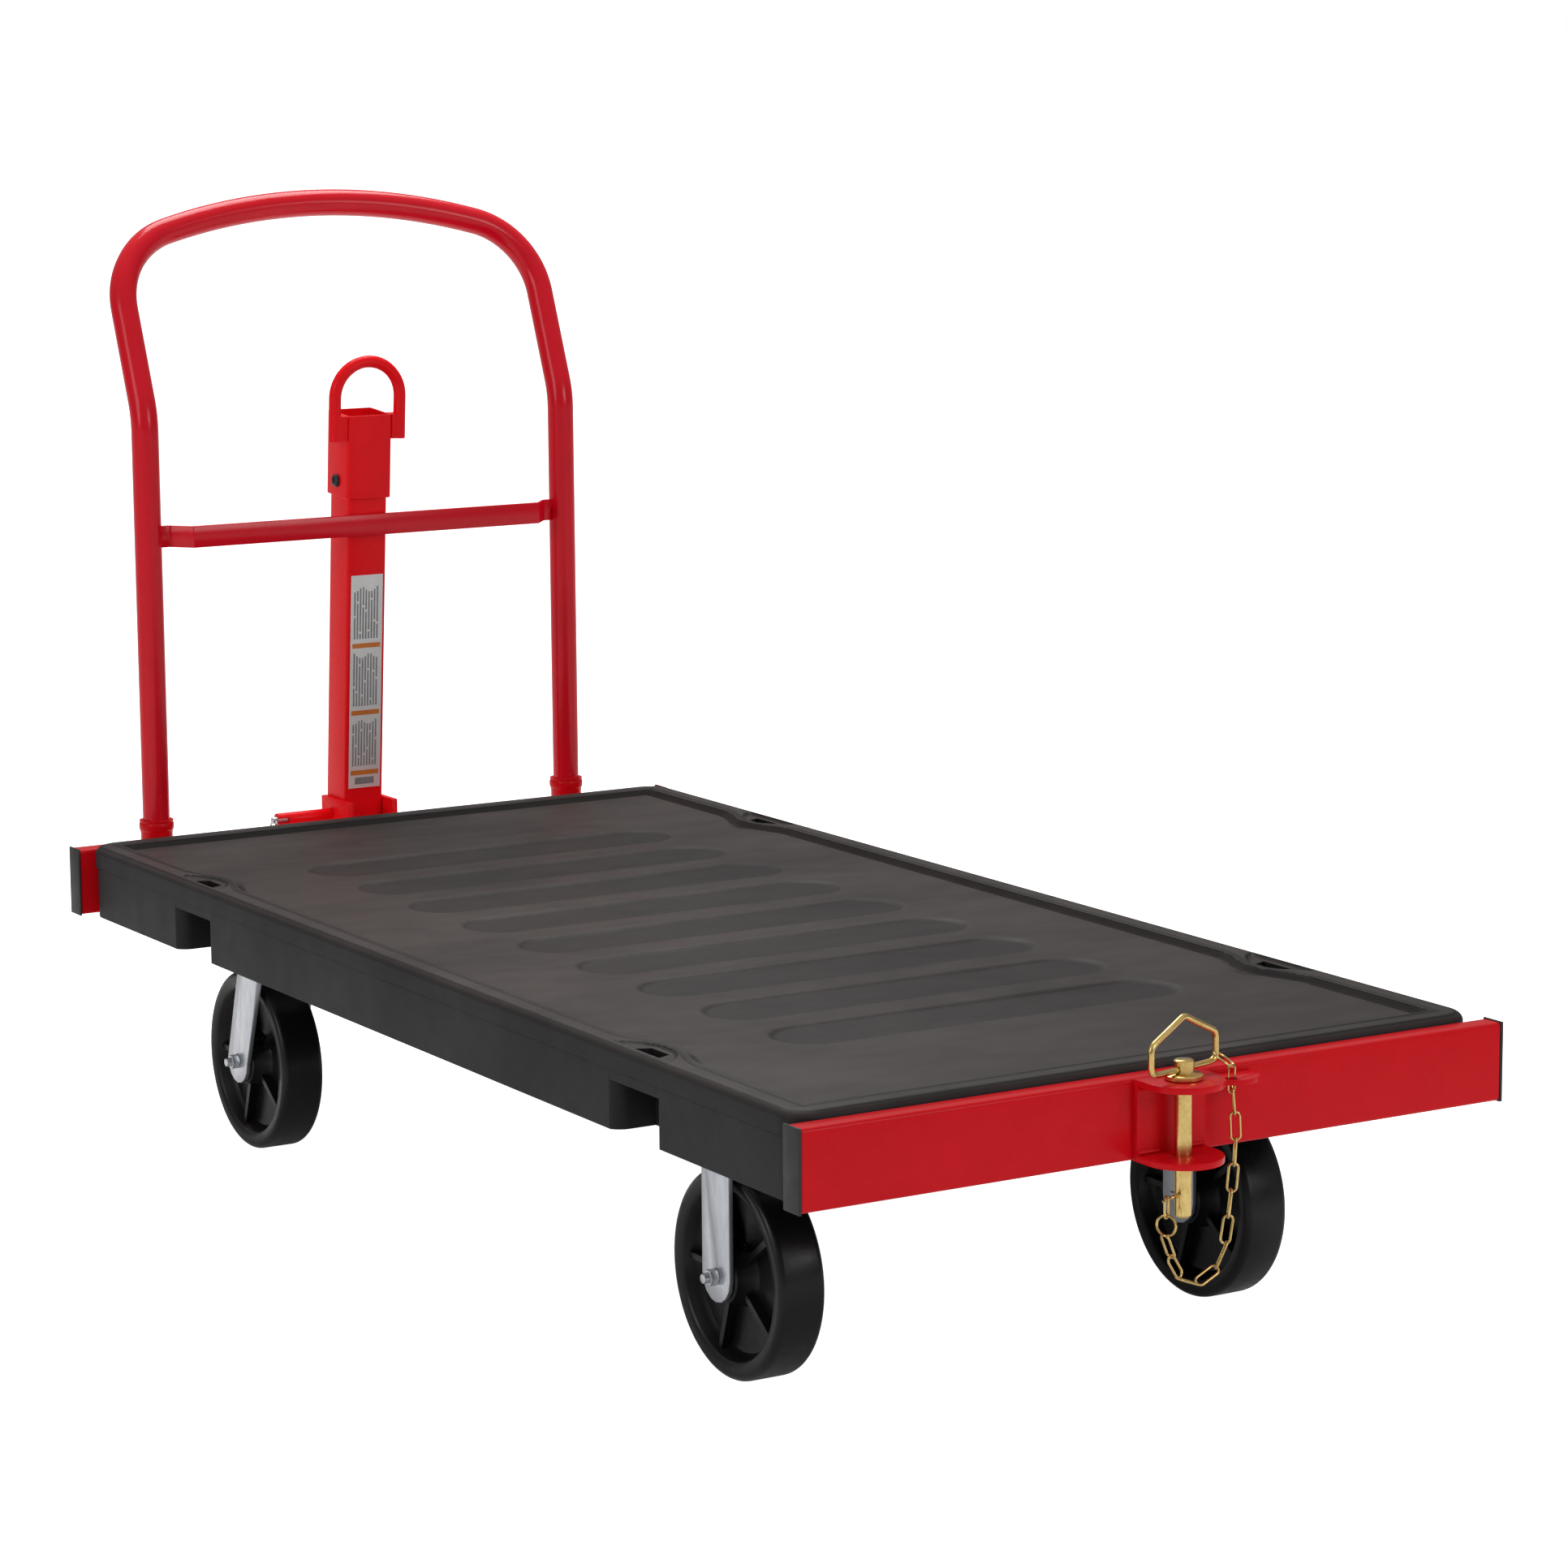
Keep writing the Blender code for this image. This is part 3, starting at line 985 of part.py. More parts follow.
def centre_whole_cart():
    """Moves the cart along Y so that its box, without the chain, is centred on the origin."""
    bpy.context.view_layer.update()
    graph = bpy.context.evaluated_depsgraph_get()
    extent = []
    for obj in PARTS.objects:
        if obj.type == "MESH" and obj.name != "safety_chain":
            mesh = obj.evaluated_get(graph).data
            extent += [(obj.matrix_world @ vertex.co).y for vertex in mesh.vertices]
    ROOT.location.y -= (min(extent) + max(extent)) / 2


centre_whole_cart()
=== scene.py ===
"""A towable platform cart with a moulded deck, a push handle, a fold-up tow bar and a pin hitch.

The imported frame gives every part's place; this script gives the cart its finished surfaces.
"""
import math

import bmesh
import bpy
import numpy as np
from mathutils import Matrix, Vector


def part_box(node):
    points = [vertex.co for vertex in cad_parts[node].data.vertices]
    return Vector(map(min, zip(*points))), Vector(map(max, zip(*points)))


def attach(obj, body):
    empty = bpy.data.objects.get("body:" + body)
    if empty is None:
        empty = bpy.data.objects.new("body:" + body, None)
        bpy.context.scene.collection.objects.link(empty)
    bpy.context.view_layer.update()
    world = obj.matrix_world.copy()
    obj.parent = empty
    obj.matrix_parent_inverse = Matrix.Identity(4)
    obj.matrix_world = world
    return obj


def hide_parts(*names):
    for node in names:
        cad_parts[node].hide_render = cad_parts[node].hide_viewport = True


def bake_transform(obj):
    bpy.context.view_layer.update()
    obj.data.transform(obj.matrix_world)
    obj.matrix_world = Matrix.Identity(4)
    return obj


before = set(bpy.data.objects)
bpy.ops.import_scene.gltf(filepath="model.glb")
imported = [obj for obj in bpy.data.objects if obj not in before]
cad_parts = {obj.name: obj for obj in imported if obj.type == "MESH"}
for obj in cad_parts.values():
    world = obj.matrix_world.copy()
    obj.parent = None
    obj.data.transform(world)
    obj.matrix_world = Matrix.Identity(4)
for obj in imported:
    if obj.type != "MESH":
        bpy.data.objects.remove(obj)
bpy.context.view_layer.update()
scene = bpy.context.scene


# ---------------------------------------------------------------- studio
# A pale sweep of floor, three soft boxes and a long lens, as for a catalogue.
FLOOR_COLOUR = (0.90, 0.90, 0.90, 1.0)
FLOOR_GLOW, FLOOR_SEEN = 0.10, 1.0
SKY_HORIZON, SKY_ZENITH = 0.16, 0.60
LENS_MM = 105.66
CAMERA_PLACE = (-2.4094, -4.1597, 1.2753)
CAMERA_YAW, CAMERA_PITCH, CAMERA_ROLL = -0.5422, -0.1661, -0.0072

def added(tree, kind, values=None, **settings):
    """A new node in a tree, with its settings and then its unlinked inputs filled in."""
    node = tree.nodes.new(kind)
    for label, setting in settings.items():
        setattr(node, label, setting)
    for label, value in (values or {}).items():
        node.inputs[label].default_value = value
    return node


def wired(tree, wires):
    """Links nodes: (from node, its output, to node, its input) for each wire."""
    for source, output, target, entry in wires:
        tree.links.new(source.outputs[output], target.inputs[entry])


bpy.ops.mesh.primitive_plane_add(size=60.0, location=(0.0, 0.0, 0.0))
floor = bpy.context.object
floor.name = "studio_floor"
floor_paint = bpy.data.materials.new("studio_floor")
floor_paint.use_nodes = True
tree = floor_paint.node_tree
floor_shader = tree.nodes["Principled BSDF"]
for label, value in (("Base Color", FLOOR_COLOUR), ("Roughness", 0.85), ("Specular IOR Level", 0.1),
                     ("Emission Color", (1.0, 1.0, 1.0, 1.0))):
    floor_shader.inputs[label].default_value = value
eye = added(tree, "ShaderNodeLightPath")
glow = added(tree, "ShaderNodeMapRange", {"To Min": FLOOR_GLOW, "To Max": FLOOR_SEEN})
wired(tree, [(eye, "Is Camera Ray", glow, "Value"), (glow, 0, floor_shader, "Emission Strength")])
floor.data.materials.append(floor_paint)

world = bpy.data.worlds.new("studio")
scene.world = world
world.use_nodes = True
tree = world.node_tree
sky = tree.nodes["Background"]
sky.inputs["Color"].default_value = (1.0, 1.0, 1.0, 1.0)
eye = added(tree, "ShaderNodeLightPath")
strength = added(tree, "ShaderNodeMapRange", {"To Max": 1.0})
heading, rise = added(tree, "ShaderNodeTexCoord"), added(tree, "ShaderNodeSeparateXYZ")
dome = added(tree, "ShaderNodeMapRange", {"To Min": SKY_HORIZON, "To Max": SKY_ZENITH})
wired(tree, [(heading, "Generated", rise, 0), (rise, "Z", dome, "Value"), (dome, 0, strength, "To Min"),
             (eye, "Is Camera Ray", strength, "Value"), (strength, 0, sky, "Strength")])


def soft_box(name, place, target, size, watts):
    lamp = bpy.data.lights.new(name, "AREA")
    lamp.shape = "RECTANGLE"
    lamp.size, lamp.size_y = size
    lamp.energy = watts
    holder = bpy.data.objects.new(name, lamp)
    scene.collection.objects.link(holder)
    holder.location = place
    holder.rotation_euler = (Vector(target) - Vector(place)).to_track_quat("-Z", "Y").to_euler()


soft_box("soft_box_overhead", (0.5, 1.6, 3.2), (0.0, 0.0, 0.3), (1.8, 1.8), 62.0)
soft_box("soft_box_left", (-3.6, -0.6, 1.9), (0.0, 0.0, 0.3), (1.4, 1.8), 24.0)
soft_box("soft_box_front", (1.6, -4.4, 2.0), (0.0, -0.6, 0.3), (1.8, 1.4), 34.0)

camera_data = bpy.data.cameras.new("catalogue_camera")
camera_data.lens = LENS_MM
camera_data.sensor_width = 36.0
camera_data.shift_x = 0.00566
camera_data.shift_y = -0.00305
camera_data.clip_end = 100.0
camera = bpy.data.objects.new("catalogue_camera", camera_data)
scene.collection.objects.link(camera)
camera.matrix_world = (
    Matrix.Translation(CAMERA_PLACE)
    @ Matrix.Rotation(CAMERA_YAW, 4, "Z")
    @ Matrix.Rotation(math.pi / 2 + CAMERA_PITCH, 4, "X")
    @ Matrix.Rotation(CAMERA_ROLL, 4, "Z")
)
scene.camera = camera
scene.view_settings.view_transform = "Standard"


# ---------------------------------------------------------------- deck
# One moulded polyethylene tray, upside down: a rounded rim round a sunk panel with nine stadium grooves,
# a deep skirt with a step round it, four tie-down notches under half-moon recesses, and ribs below.
deck_low, deck_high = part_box("deck")
DECK_CENTRE = (deck_low + deck_high) / 2
HALF_WIDTH = (deck_high.x - deck_low.x) / 2
HALF_LENGTH = (deck_high.y - deck_low.y) / 2
DECK_TOP, DECK_FOOT = deck_high.z, deck_low.z
DECK_WALL = 0.0050
EDGE_ROUND = 0.0090
PLAN_CORNER = 0.0280
RIM_INSIDE = 0.0290
PANEL_DROP, PANEL_UNDER, TRENCH, RIM_LINE = 0.0055, 0.0120, 0.0026, 0.0010
SKIRT_LINE, SKIRT_STEP = 0.0250, 0.0018
GROOVE_PITCH, GROOVE_ROWS = 0.1260, 4
GROOVE_HALF, GROOVE_BAND, GROOVE_SINK = 0.2280, 0.0410, 0.0026
TIE_PLACE = 0.4980
TIE_BULGE, TIE_SPREAD = 0.0190, 0.0800
MOON_HALF, MOON_DEPTH, MOON_START, MOON_SINK = 0.0540, 0.0320, 0.0085, 0.0034
GRID_INSET = 0.0700
CORNER_STEPS = 12


def ease(value):
    value = np.clip(value, 0.0, 1.0)
    return value * value * (3 - 2 * value)


def deck_surface(x, y):
    """Height of the deck's upper side inside its rounded edge, x and y from the deck's middle."""
    from_side, from_end = HALF_WIDTH - np.abs(x), HALF_LENGTH - np.abs(y)
    along = np.abs(y) - TIE_PLACE
    bulge = 0.5 + 0.5 * np.cos(np.pi * np.clip(along / TIE_SPREAD, -1, 1))
    past_side = from_side - RIM_INSIDE - TIE_BULGE * bulge
    past_end = from_end - RIM_INSIDE
    inside = ease(past_side / 0.0045) * ease(past_end / 0.0045)
    height = DECK_TOP - PANEL_DROP * inside
    height -= RIM_LINE * np.exp(-(((np.minimum(past_side, past_end) + 0.0050) / 0.0030) ** 2))
    height -= TRENCH * np.exp(-(((np.minimum(past_side, past_end) - 0.0060) / 0.0024) ** 2))
    radius = (MOON_HALF ** 2 + MOON_DEPTH ** 2) / (2 * MOON_DEPTH)
    reach = np.hypot(from_side - (MOON_START + MOON_DEPTH - radius), along)
    height -= MOON_SINK * ease((radius - reach) / 0.0035) * ease((from_side - MOON_START) / 0.0035)
    row = np.clip(np.round(y / GROOVE_PITCH), -GROOVE_ROWS, GROOVE_ROWS) * GROOVE_PITCH
    beyond = np.hypot(np.maximum(np.abs(x) - GROOVE_HALF + GROOVE_BAND, 0.0), y - row) - GROOVE_BAND
    return height - GROOVE_SINK * ease(0.5 - beyond / 0.0060)


def steps_along(half, coarse, *bands):
    """Places from -half to half: coarse steps, with fine steps in bands of (centre, half width, step)."""
    places = list(np.linspace(-half, half, int(2 * half / coarse) + 1))
    for centre, reach, step in bands:
        places = [p for p in places if abs(p - centre) > reach]
        places += list(np.arange(centre - reach, centre + reach + step / 2, step))
    places = sorted(p for p in places if 0.0006 < p < half - 0.0008)
    places = [p for i, p in enumerate(places) if i == 0 or p - places[i - 1] > 0.0006]
    return np.array([-half, *[-p for p in reversed(places)], 0.0, *places, half])


grid_x = steps_along(HALF_WIDTH - GRID_INSET, 0.024, *[(s * 0.2080, 0.0260, 0.0030) for s in (-1, 1)])
grid_y = steps_along(
    HALF_LENGTH - GRID_INSET, 0.021,
    *[(s * TIE_PLACE, 0.0880, 0.0040) for s in (-1, 1)],
    *[(row * GROOVE_PITCH, 0.0470, 0.0030) for row in range(-GROOVE_ROWS, GROOVE_ROWS + 1)],
)


def ring_round(inset):
    """Plan points of a ring round the deck, so many to each side as the grid has, with an arc at each corner."""
    radius = PLAN_CORNER * (1 - inset / GRID_INSET)
    flat_x, flat_y = HALF_WIDTH - inset - radius, HALF_LENGTH - inset - radius
    run_x, run_y = grid_x * flat_x / grid_x[-1], grid_y * flat_y / grid_y[-1]
    points = []
    for quarter in range(4):
        turn = math.radians(90 * quarter)
        side = [(flat_x + radius, v) for v in run_y] if quarter % 2 == 0 else [(u, flat_y + radius) for u in -run_x]
        points += [(u, v) if quarter < 2 else (-u, -v) for u, v in side]
        centre = ((1, 1), (-1, 1), (-1, -1), (1, -1))[quarter]
        for step in range(1, CORNER_STEPS):
            angle = turn + math.pi / 2 * step / CORNER_STEPS
            points.append((centre[0] * flat_x + radius * math.cos(angle),
                           centre[1] * flat_y + radius * math.sin(angle)))
    return np.array(points)


rings = [(SKIRT_STEP, DECK_FOOT + 0.0012), (SKIRT_STEP + 0.0004, DECK_FOOT)][::-1]
rings += [(SKIRT_STEP, DECK_TOP - SKIRT_LINE - 0.0012), (0.0, DECK_TOP - SKIRT_LINE)]
for step in range(9):
    angle = math.pi / 2 * step / 8
    rings.append((EDGE_ROUND * (1 - math.cos(angle)), DECK_TOP - EDGE_ROUND * (1 - math.sin(angle))))
rings += [(float(inset), None) for inset in np.arange(EDGE_ROUND + 0.0012, 0.0560, 0.0014)] + [(GRID_INSET, None)]
under_side = DECK_TOP - PANEL_UNDER
inner_rings = [(DECK_WALL, DECK_FOOT), (DECK_WALL, under_side - 0.0080), (DECK_WALL + 0.0080, under_side)]

deck_points, deck_faces = [], []
ring_size = len(ring_round(0.0))
for inset, level in rings:
    plan = ring_round(inset)
    heights = deck_surface(plan[:, 0], plan[:, 1]) if level is None else np.full(ring_size, level)
    deck_points.append(np.column_stack([plan, heights]))
for inset, level in inner_rings:
    plan = ring_round(inset)
    deck_points.append(np.column_stack([plan, np.full(ring_size, level)]))
for ring in range(len(rings) - 1):
    base = ring * ring_size
    deck_faces += [(base + i, base + (i + 1) % ring_size, base + ring_size + (i + 1) % ring_size,
                    base + ring_size + i)
                   for i in range(ring_size)]
inner_base = len(rings) * ring_size
for ring in range(len(inner_rings) - 1):
    base = inner_base + ring * ring_size
    deck_faces += [(base + ring_size + i, base + ring_size + (i + 1) % ring_size, base + (i + 1) % ring_size,
                    base + i)
                   for i in range(ring_size)]
deck_faces += [(inner_base + i, inner_base + (i + 1) % ring_size, (i + 1) % ring_size, i) for i in range(ring_size)]
last = inner_base + (len(inner_rings) - 1) * ring_size
deck_faces.append(tuple(last + i for i in reversed(range(ring_size))))
mesh_x, mesh_y = np.meshgrid(grid_x, grid_y)
panel_base = inner_base + len(inner_rings) * ring_size
deck_points.append(np.column_stack([mesh_x.ravel(), mesh_y.ravel(), deck_surface(mesh_x, mesh_y).ravel()]))
columns = len(grid_x)
deck_faces += [
    (panel_base + j * columns + i, panel_base + j * columns + i + 1,
     panel_base + (j + 1) * columns + i + 1, panel_base + (j + 1) * columns + i)
    for j in range(len(grid_y) - 1) for i in range(columns - 1)
]
deck_mesh = bpy.data.meshes.new("deck_tray")
deck_mesh.from_pydata((np.vstack(deck_points) + [DECK_CENTRE.x, DECK_CENTRE.y, 0.0]).tolist(), [], deck_faces)


def merged(mesh, distance=0.00002):
    """Welds doubles and turns every face of a closed mesh outwards."""
    work = bmesh.new()
    work.from_mesh(mesh)
    bmesh.ops.remove_doubles(work, verts=work.verts, dist=distance)
    bmesh.ops.dissolve_degenerate(work, edges=work.edges, dist=0.000005)
    bmesh.ops.recalc_face_normals(work, faces=work.faces)
    work.to_mesh(mesh)
    work.free()
    return mesh


def block(low, high):
    """A box between two corners."""
    mesh = bpy.data.meshes.new("block")
    work = bmesh.new()
    bmesh.ops.create_cube(work, size=1.0)
    size = Vector(high) - Vector(low)
    middle = (Vector(high) + Vector(low)) / 2
    bmesh.ops.transform(work, matrix=Matrix.Translation(middle) @ Matrix.Diagonal((*size, 1.0)), verts=work.verts)
    work.to_mesh(mesh)
    work.free()
    return mesh


def prism(outline, low, high):
    """A plan outline (counter-clockwise) raised from low to high."""
    count = len(outline)
    points = [(x, y, low) for x, y in outline] + [(x, y, high) for x, y in outline]
    faces = [tuple(reversed(range(count))), tuple(range(count, 2 * count))]
    faces += [(i, (i + 1) % count, count + (i + 1) % count, count + i) for i in range(count)]
    mesh = bpy.data.meshes.new("prism")
    mesh.from_pydata(points, [], faces)
    return merged(mesh)


def joined(meshes):
    """Several meshes as one."""
    work = bmesh.new()
    for mesh in meshes:
        work.from_mesh(mesh)
    result = bpy.data.meshes.new("joined")
    work.to_mesh(result)
    work.free()
    return result


def evaluated_copy(holder):
    """The plain mesh that an object's modifiers give, with the object gone."""
    bpy.context.view_layer.update()
    result = bpy.data.meshes.new_from_object(holder.evaluated_get(bpy.context.evaluated_depsgraph_get()))
    bpy.data.objects.remove(holder)
    return result


def carved(mesh, cutter, operation):
    """One exact cut or union of two closed meshes."""
    holder, tool = bpy.data.objects.new("carving", mesh), bpy.data.objects.new("tool", cutter)
    for obj in (holder, tool):
        scene.collection.objects.link(obj)
    cut = holder.modifiers.new("cut", "BOOLEAN")
    cut.operation, cut.object, cut.solver = operation, tool, "MANIFOLD"
    result = evaluated_copy(holder)
    bpy.data.objects.remove(tool)
    return result


# The webs and tie-down boxes under the deck, then everything that is cut through the skirt and rim.
RIB_PLACES = (-0.2850, -0.0700, 0.0700, 0.2850)
BOX_REACH, BOX_HALF = 0.0510, 0.0600
NOTCH_HALF, NOTCH_FLARE, NOTCH_REACH, NOTCH_HEIGHT = 0.0370, 0.0180, 0.0460, 0.0480
SLOT_HALF, SLOT_INNER, SLOT_OUTER = 0.0230, 0.0310, 0.0160
rail_low, rail_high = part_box("frame_rail_right")
beam_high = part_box("caster_beam_front")[1]
deck_mesh = merged(deck_mesh)
webs = [
    block((x - 0.0025, deck_low.y + 0.003, beam_high.z + 0.001),
          (x + 0.0025, deck_high.y - 0.003, under_side + 0.002))
    for x in RIB_PLACES
]
rail_seats = [
    block((side * rail_low.x if side > 0 else -rail_high.x, deck_low.y + 0.003, rail_high.z + 0.0002),
          (rail_high.x if side > 0 else -rail_low.x, deck_high.y - 0.003, under_side + 0.002))
    for side in (-1, 1)
]
tie_boxes, notches = [], []
for side in (-1, 1):
    for end in (-1, 1):
        edge, middle = side * HALF_WIDTH, DECK_CENTRE.y + end * TIE_PLACE
        inner, outer = sorted((edge - side * BOX_REACH, edge - side * 0.0030))
        tie_boxes.append(block((inner, middle - BOX_HALF, DECK_FOOT),
                               (outer, middle + BOX_HALF, under_side + 0.002)))
        outline = [(-0.004, NOTCH_HALF + NOTCH_FLARE)]
        for step in range(9):
            angle = math.pi / 2 * step / 8
            outline.append((NOTCH_FLARE * (1 - math.cos(angle)), NOTCH_HALF + NOTCH_FLARE * (1 - math.sin(angle))))
        outline.append((NOTCH_REACH, NOTCH_HALF))
        outline += [(inward, -along) for inward, along in reversed(outline)]
        placed = [(edge - side * inward, middle + along) for inward, along in outline]
        notches.append(prism(placed if side > 0 else placed[::-1], DECK_FOOT - 0.01, DECK_FOOT + NOTCH_HEIGHT))
        slot = [(SLOT_OUTER, -SLOT_HALF), (SLOT_INNER, -SLOT_HALF * 0.72), (SLOT_INNER, SLOT_HALF * 0.72),
                (SLOT_OUTER, SLOT_HALF)]
        placed = [(edge - side * inward, middle + along) for inward, along in slot]
        notches.append(prism(placed if side < 0 else placed[::-1], DECK_FOOT + 0.02, DECK_TOP + 0.01))
passes = [
    block((side * 0.17 - 0.0257, deck_low.y - 0.01, DECK_FOOT - 0.01), (side * 0.17 + 0.0257, deck_high.y + 0.01,
                                                                       rail_high.z + 0.0003))
    for side in (-1, 1)
]
for extra in (*webs, *rail_seats, *tie_boxes):
    deck_mesh = carved(deck_mesh, extra, "UNION")
for cutter in (*notches, *passes):
    deck_mesh = carved(deck_mesh, cutter, "DIFFERENCE")
deck_mesh = merged(deck_mesh, 0.00001)


def smoothed(mesh, degrees=32.0):
    """Smooth shading with edges sharper than the angle kept crisp."""
    mesh.shade_smooth()
    mesh.set_sharp_from_angle(angle=math.radians(degrees))
    return mesh


def finished(name, mesh, body, surface, *nodes, slot_name=None):
    """Puts a finished mesh on the cart: its surface, the body that carries it and the nodes it stands for.

    The surface goes into the mesh's one material slot. The slot_name argument is not used.
    """
    made = bpy.data.objects.new(name, mesh)
    scene.collection.objects.link(made)
    mesh.materials.clear()
    mesh.materials.append(surface)
    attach(made, body)
    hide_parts(*nodes)
    return made


def effect(name, inputs, outputs):
    """An empty shader node group with named float, vector or colour sockets."""
    group = bpy.data.node_groups.new(name, "ShaderNodeTree")
    for label, kind, value in inputs:
        socket = group.interface.new_socket(label, in_out="INPUT", socket_type=kind)
        socket.default_value = value
    for label, kind in outputs:
        group.interface.new_socket(label, in_out="OUTPUT", socket_type=kind)
    return group, group.nodes.new("NodeGroupInput"), group.nodes.new("NodeGroupOutput")


# Mottle: two noises on the piece's own coordinates, stretched as the mould or brush left them.
mottle, mottle_in, mottle_out = effect("mottle", [
    ("Light", "NodeSocketColor", (1, 1, 1, 1)), ("Dark", "NodeSocketColor", (0, 0, 0, 1)),
    ("Stretch", "NodeSocketVector", (1, 1, 1)), ("Scale", "NodeSocketFloat", 6.0),
    ("Contrast", "NodeSocketFloat", 1.0)], [("Colour", "NodeSocketColor"), ("Mask", "NodeSocketFloat")])
place = added(mottle, "ShaderNodeTexCoord")
spread = added(mottle, "ShaderNodeVectorMath", operation="MULTIPLY")
broad = added(mottle, "ShaderNodeTexNoise", {"Detail": 5.0})
fine = added(mottle, "ShaderNodeTexNoise", {"Detail": 3.0})
fine_scale = added(mottle, "ShaderNodeMath", {1: 5.3}, operation="MULTIPLY")
blend_noise = added(mottle, "ShaderNodeMix", {0: 0.35})
level = added(mottle, "ShaderNodeMapRange", {"From Min": 0.36, "From Max": 0.66})
power = added(mottle, "ShaderNodeMath", operation="MULTIPLY", use_clamp=True)
colour_mix = added(mottle, "ShaderNodeMix", data_type="RGBA")
wired(mottle, [
    (place, "Object", spread, 0), (mottle_in, "Stretch", spread, 1),
    (spread, 0, broad, "Vector"), (spread, 0, fine, "Vector"),
    (mottle_in, "Scale", broad, "Scale"), (mottle_in, "Scale", fine_scale, 0),
    (fine_scale, 0, fine, "Scale"), (broad, 0, blend_noise, 2),
    (fine, 0, blend_noise, 3), (blend_noise, 0, level, "Value"),
    (level, 0, power, 0), (mottle_in, "Contrast", power, 1),
    (power, 0, colour_mix, 0), (mottle_in, "Light", colour_mix, 6),
    (mottle_in, "Dark", colour_mix, 7), (colour_mix, 2, mottle_out, "Colour"),
    (power, 0, mottle_out, "Mask"),
])

# Grain: a fine pebble or orange peel, as a height for a bump.
grain, grain_in, grain_out = effect("grain", [("Scale", "NodeSocketFloat", 900.0)], [("Height", "NodeSocketFloat")])
place = added(grain, "ShaderNodeTexCoord")
pebble, ripple = added(grain, "ShaderNodeTexVoronoi", feature="SMOOTH_F1"), added(grain, "ShaderNodeTexNoise")
half_scale = added(grain, "ShaderNodeMath", {1: 0.45}, operation="MULTIPLY")
both = added(grain, "ShaderNodeMath", operation="ADD")
wired(grain, [
    (place, "Object", pebble, "Vector"), (place, "Object", ripple, "Vector"),
    (grain_in, "Scale", pebble, "Scale"), (grain_in, "Scale", half_scale, 0),
    (half_scale, 0, ripple, "Scale"), (pebble, "Distance", both, 0),
    (ripple, 0, both, 1), (both, 0, grain_out, "Height"),
])


def finish_of(name, light, dark, roughness, metallic=0.0, stretch=(1, 1, 1), scale=6.0, contrast=1.0, gloss=0.5,
              peel=900.0, bump=0.2, depth=0.0002, swing=0.12):
    """A surface: mottled colour, roughness that follows it, and a fine grain."""
    made = bpy.data.materials.new(name)
    made.use_nodes = True
    tree = made.node_tree
    shader = tree.nodes["Principled BSDF"]
    shader.inputs["Metallic"].default_value = metallic
    shader.inputs["Specular IOR Level"].default_value = gloss
    tone = added(tree, "ShaderNodeGroup", {"Light": (*light, 1), "Dark": (*dark, 1), "Stretch": stretch,
                                           "Scale": scale, "Contrast": contrast}, node_tree=mottle)
    sheen = added(tree, "ShaderNodeMapRange", {"To Min": roughness - swing / 2, "To Max": roughness + swing / 2})
    skin = added(tree, "ShaderNodeGroup", {"Scale": peel}, node_tree=grain)
    relief = added(tree, "ShaderNodeBump", {"Strength": bump, "Distance": depth})
    wired(tree, [(tone, "Colour", shader, "Base Color"), (tone, "Mask", sheen, "Value"),
                 (sheen, 0, shader, "Roughness"), (skin, "Height", relief, "Height"),
                 (relief, 0, shader, "Normal")])
    return made


DECK_LIGHT, DECK_DARK, DECK_SIDE_SHADED = (0.0470, 0.0360, 0.0320), (0.0150, 0.0115, 0.0105), (0.0125, 0.0110, 0.0130)
GROOVE_SHADE, RIM_SHADE, PAINTED_STEP_LINE = 0.42, 0.25, (0.0030, 0.0050, 0.0060)
RIM_BAND, SKIRT_BAND = 0.0007, 0.0009
deck_plastic = finish_of("deck_plastic", DECK_LIGHT, DECK_DARK, 0.58, stretch=(0.7, 1.2, 1.0), scale=4.2,
                         contrast=0.8, gloss=0.24, peel=1400.0, bump=0.35, depth=0.00025)
# The skirt and other steep faces are painted darker than the top by their facing, as painted shade; a thin dark
# bluish line painted along the skirt's step stands in for the light and shade on its edge; and the groove floors and
# the line round the panel are painted darker than the lands by their depth, as painted shade.
tree = deck_plastic.node_tree
panel_level = DECK_TOP - PANEL_DROP
tone_node = next(node for node in tree.nodes if node.type == "GROUP" and node.node_tree == mottle)
# Painted shade: faces that turn away from upward take the darker side colour, chosen by their true normal.
facing, upward = added(tree, "ShaderNodeNewGeometry"), added(tree, "ShaderNodeSeparateXYZ")
side_shade_blend = added(tree, "ShaderNodeMapRange", {"From Min": 0.15, "From Max": 0.75})
spot, spot_axes = added(tree, "ShaderNodeTexCoord"), added(tree, "ShaderNodeSeparateXYZ")
# Painted shade: the groove floors and the trench round the panel are darkened by their depth.
sunk = added(tree, "ShaderNodeMapRange", {
    "From Min": panel_level - GROOVE_SINK * 0.85, "From Max": panel_level - GROOVE_SINK * 0.15,
    "To Min": GROOVE_SHADE, "To Max": 1.0})
shade, rim_shade = (added(tree, "ShaderNodeVectorMath", operation="SCALE") for _ in range(2))
# Painted shade: a dark line painted along the rim's inner edge, over its shallow trench.
rim_line = added(tree, "ShaderNodeMath", {1: DECK_TOP - RIM_LINE, 2: RIM_BAND}, operation="COMPARE")
rim_tone = added(tree, "ShaderNodeMapRange", {"To Min": 1.0, "To Max": RIM_SHADE})
# A thin dark bluish line painted along the skirt's step, standing in for the light and shade on its edge.
near_line = added(tree, "ShaderNodeMath", {1: DECK_TOP - SKIRT_LINE + 0.0004, 2: SKIRT_BAND}, operation="COMPARE")
step_line_mix = added(tree, "ShaderNodeMix", {6: (*DECK_SIDE_SHADED, 1.0), 7: (*PAINTED_STEP_LINE, 1.0)}, data_type="RGBA")
side_shade_mix = added(tree, "ShaderNodeMix", data_type="RGBA")
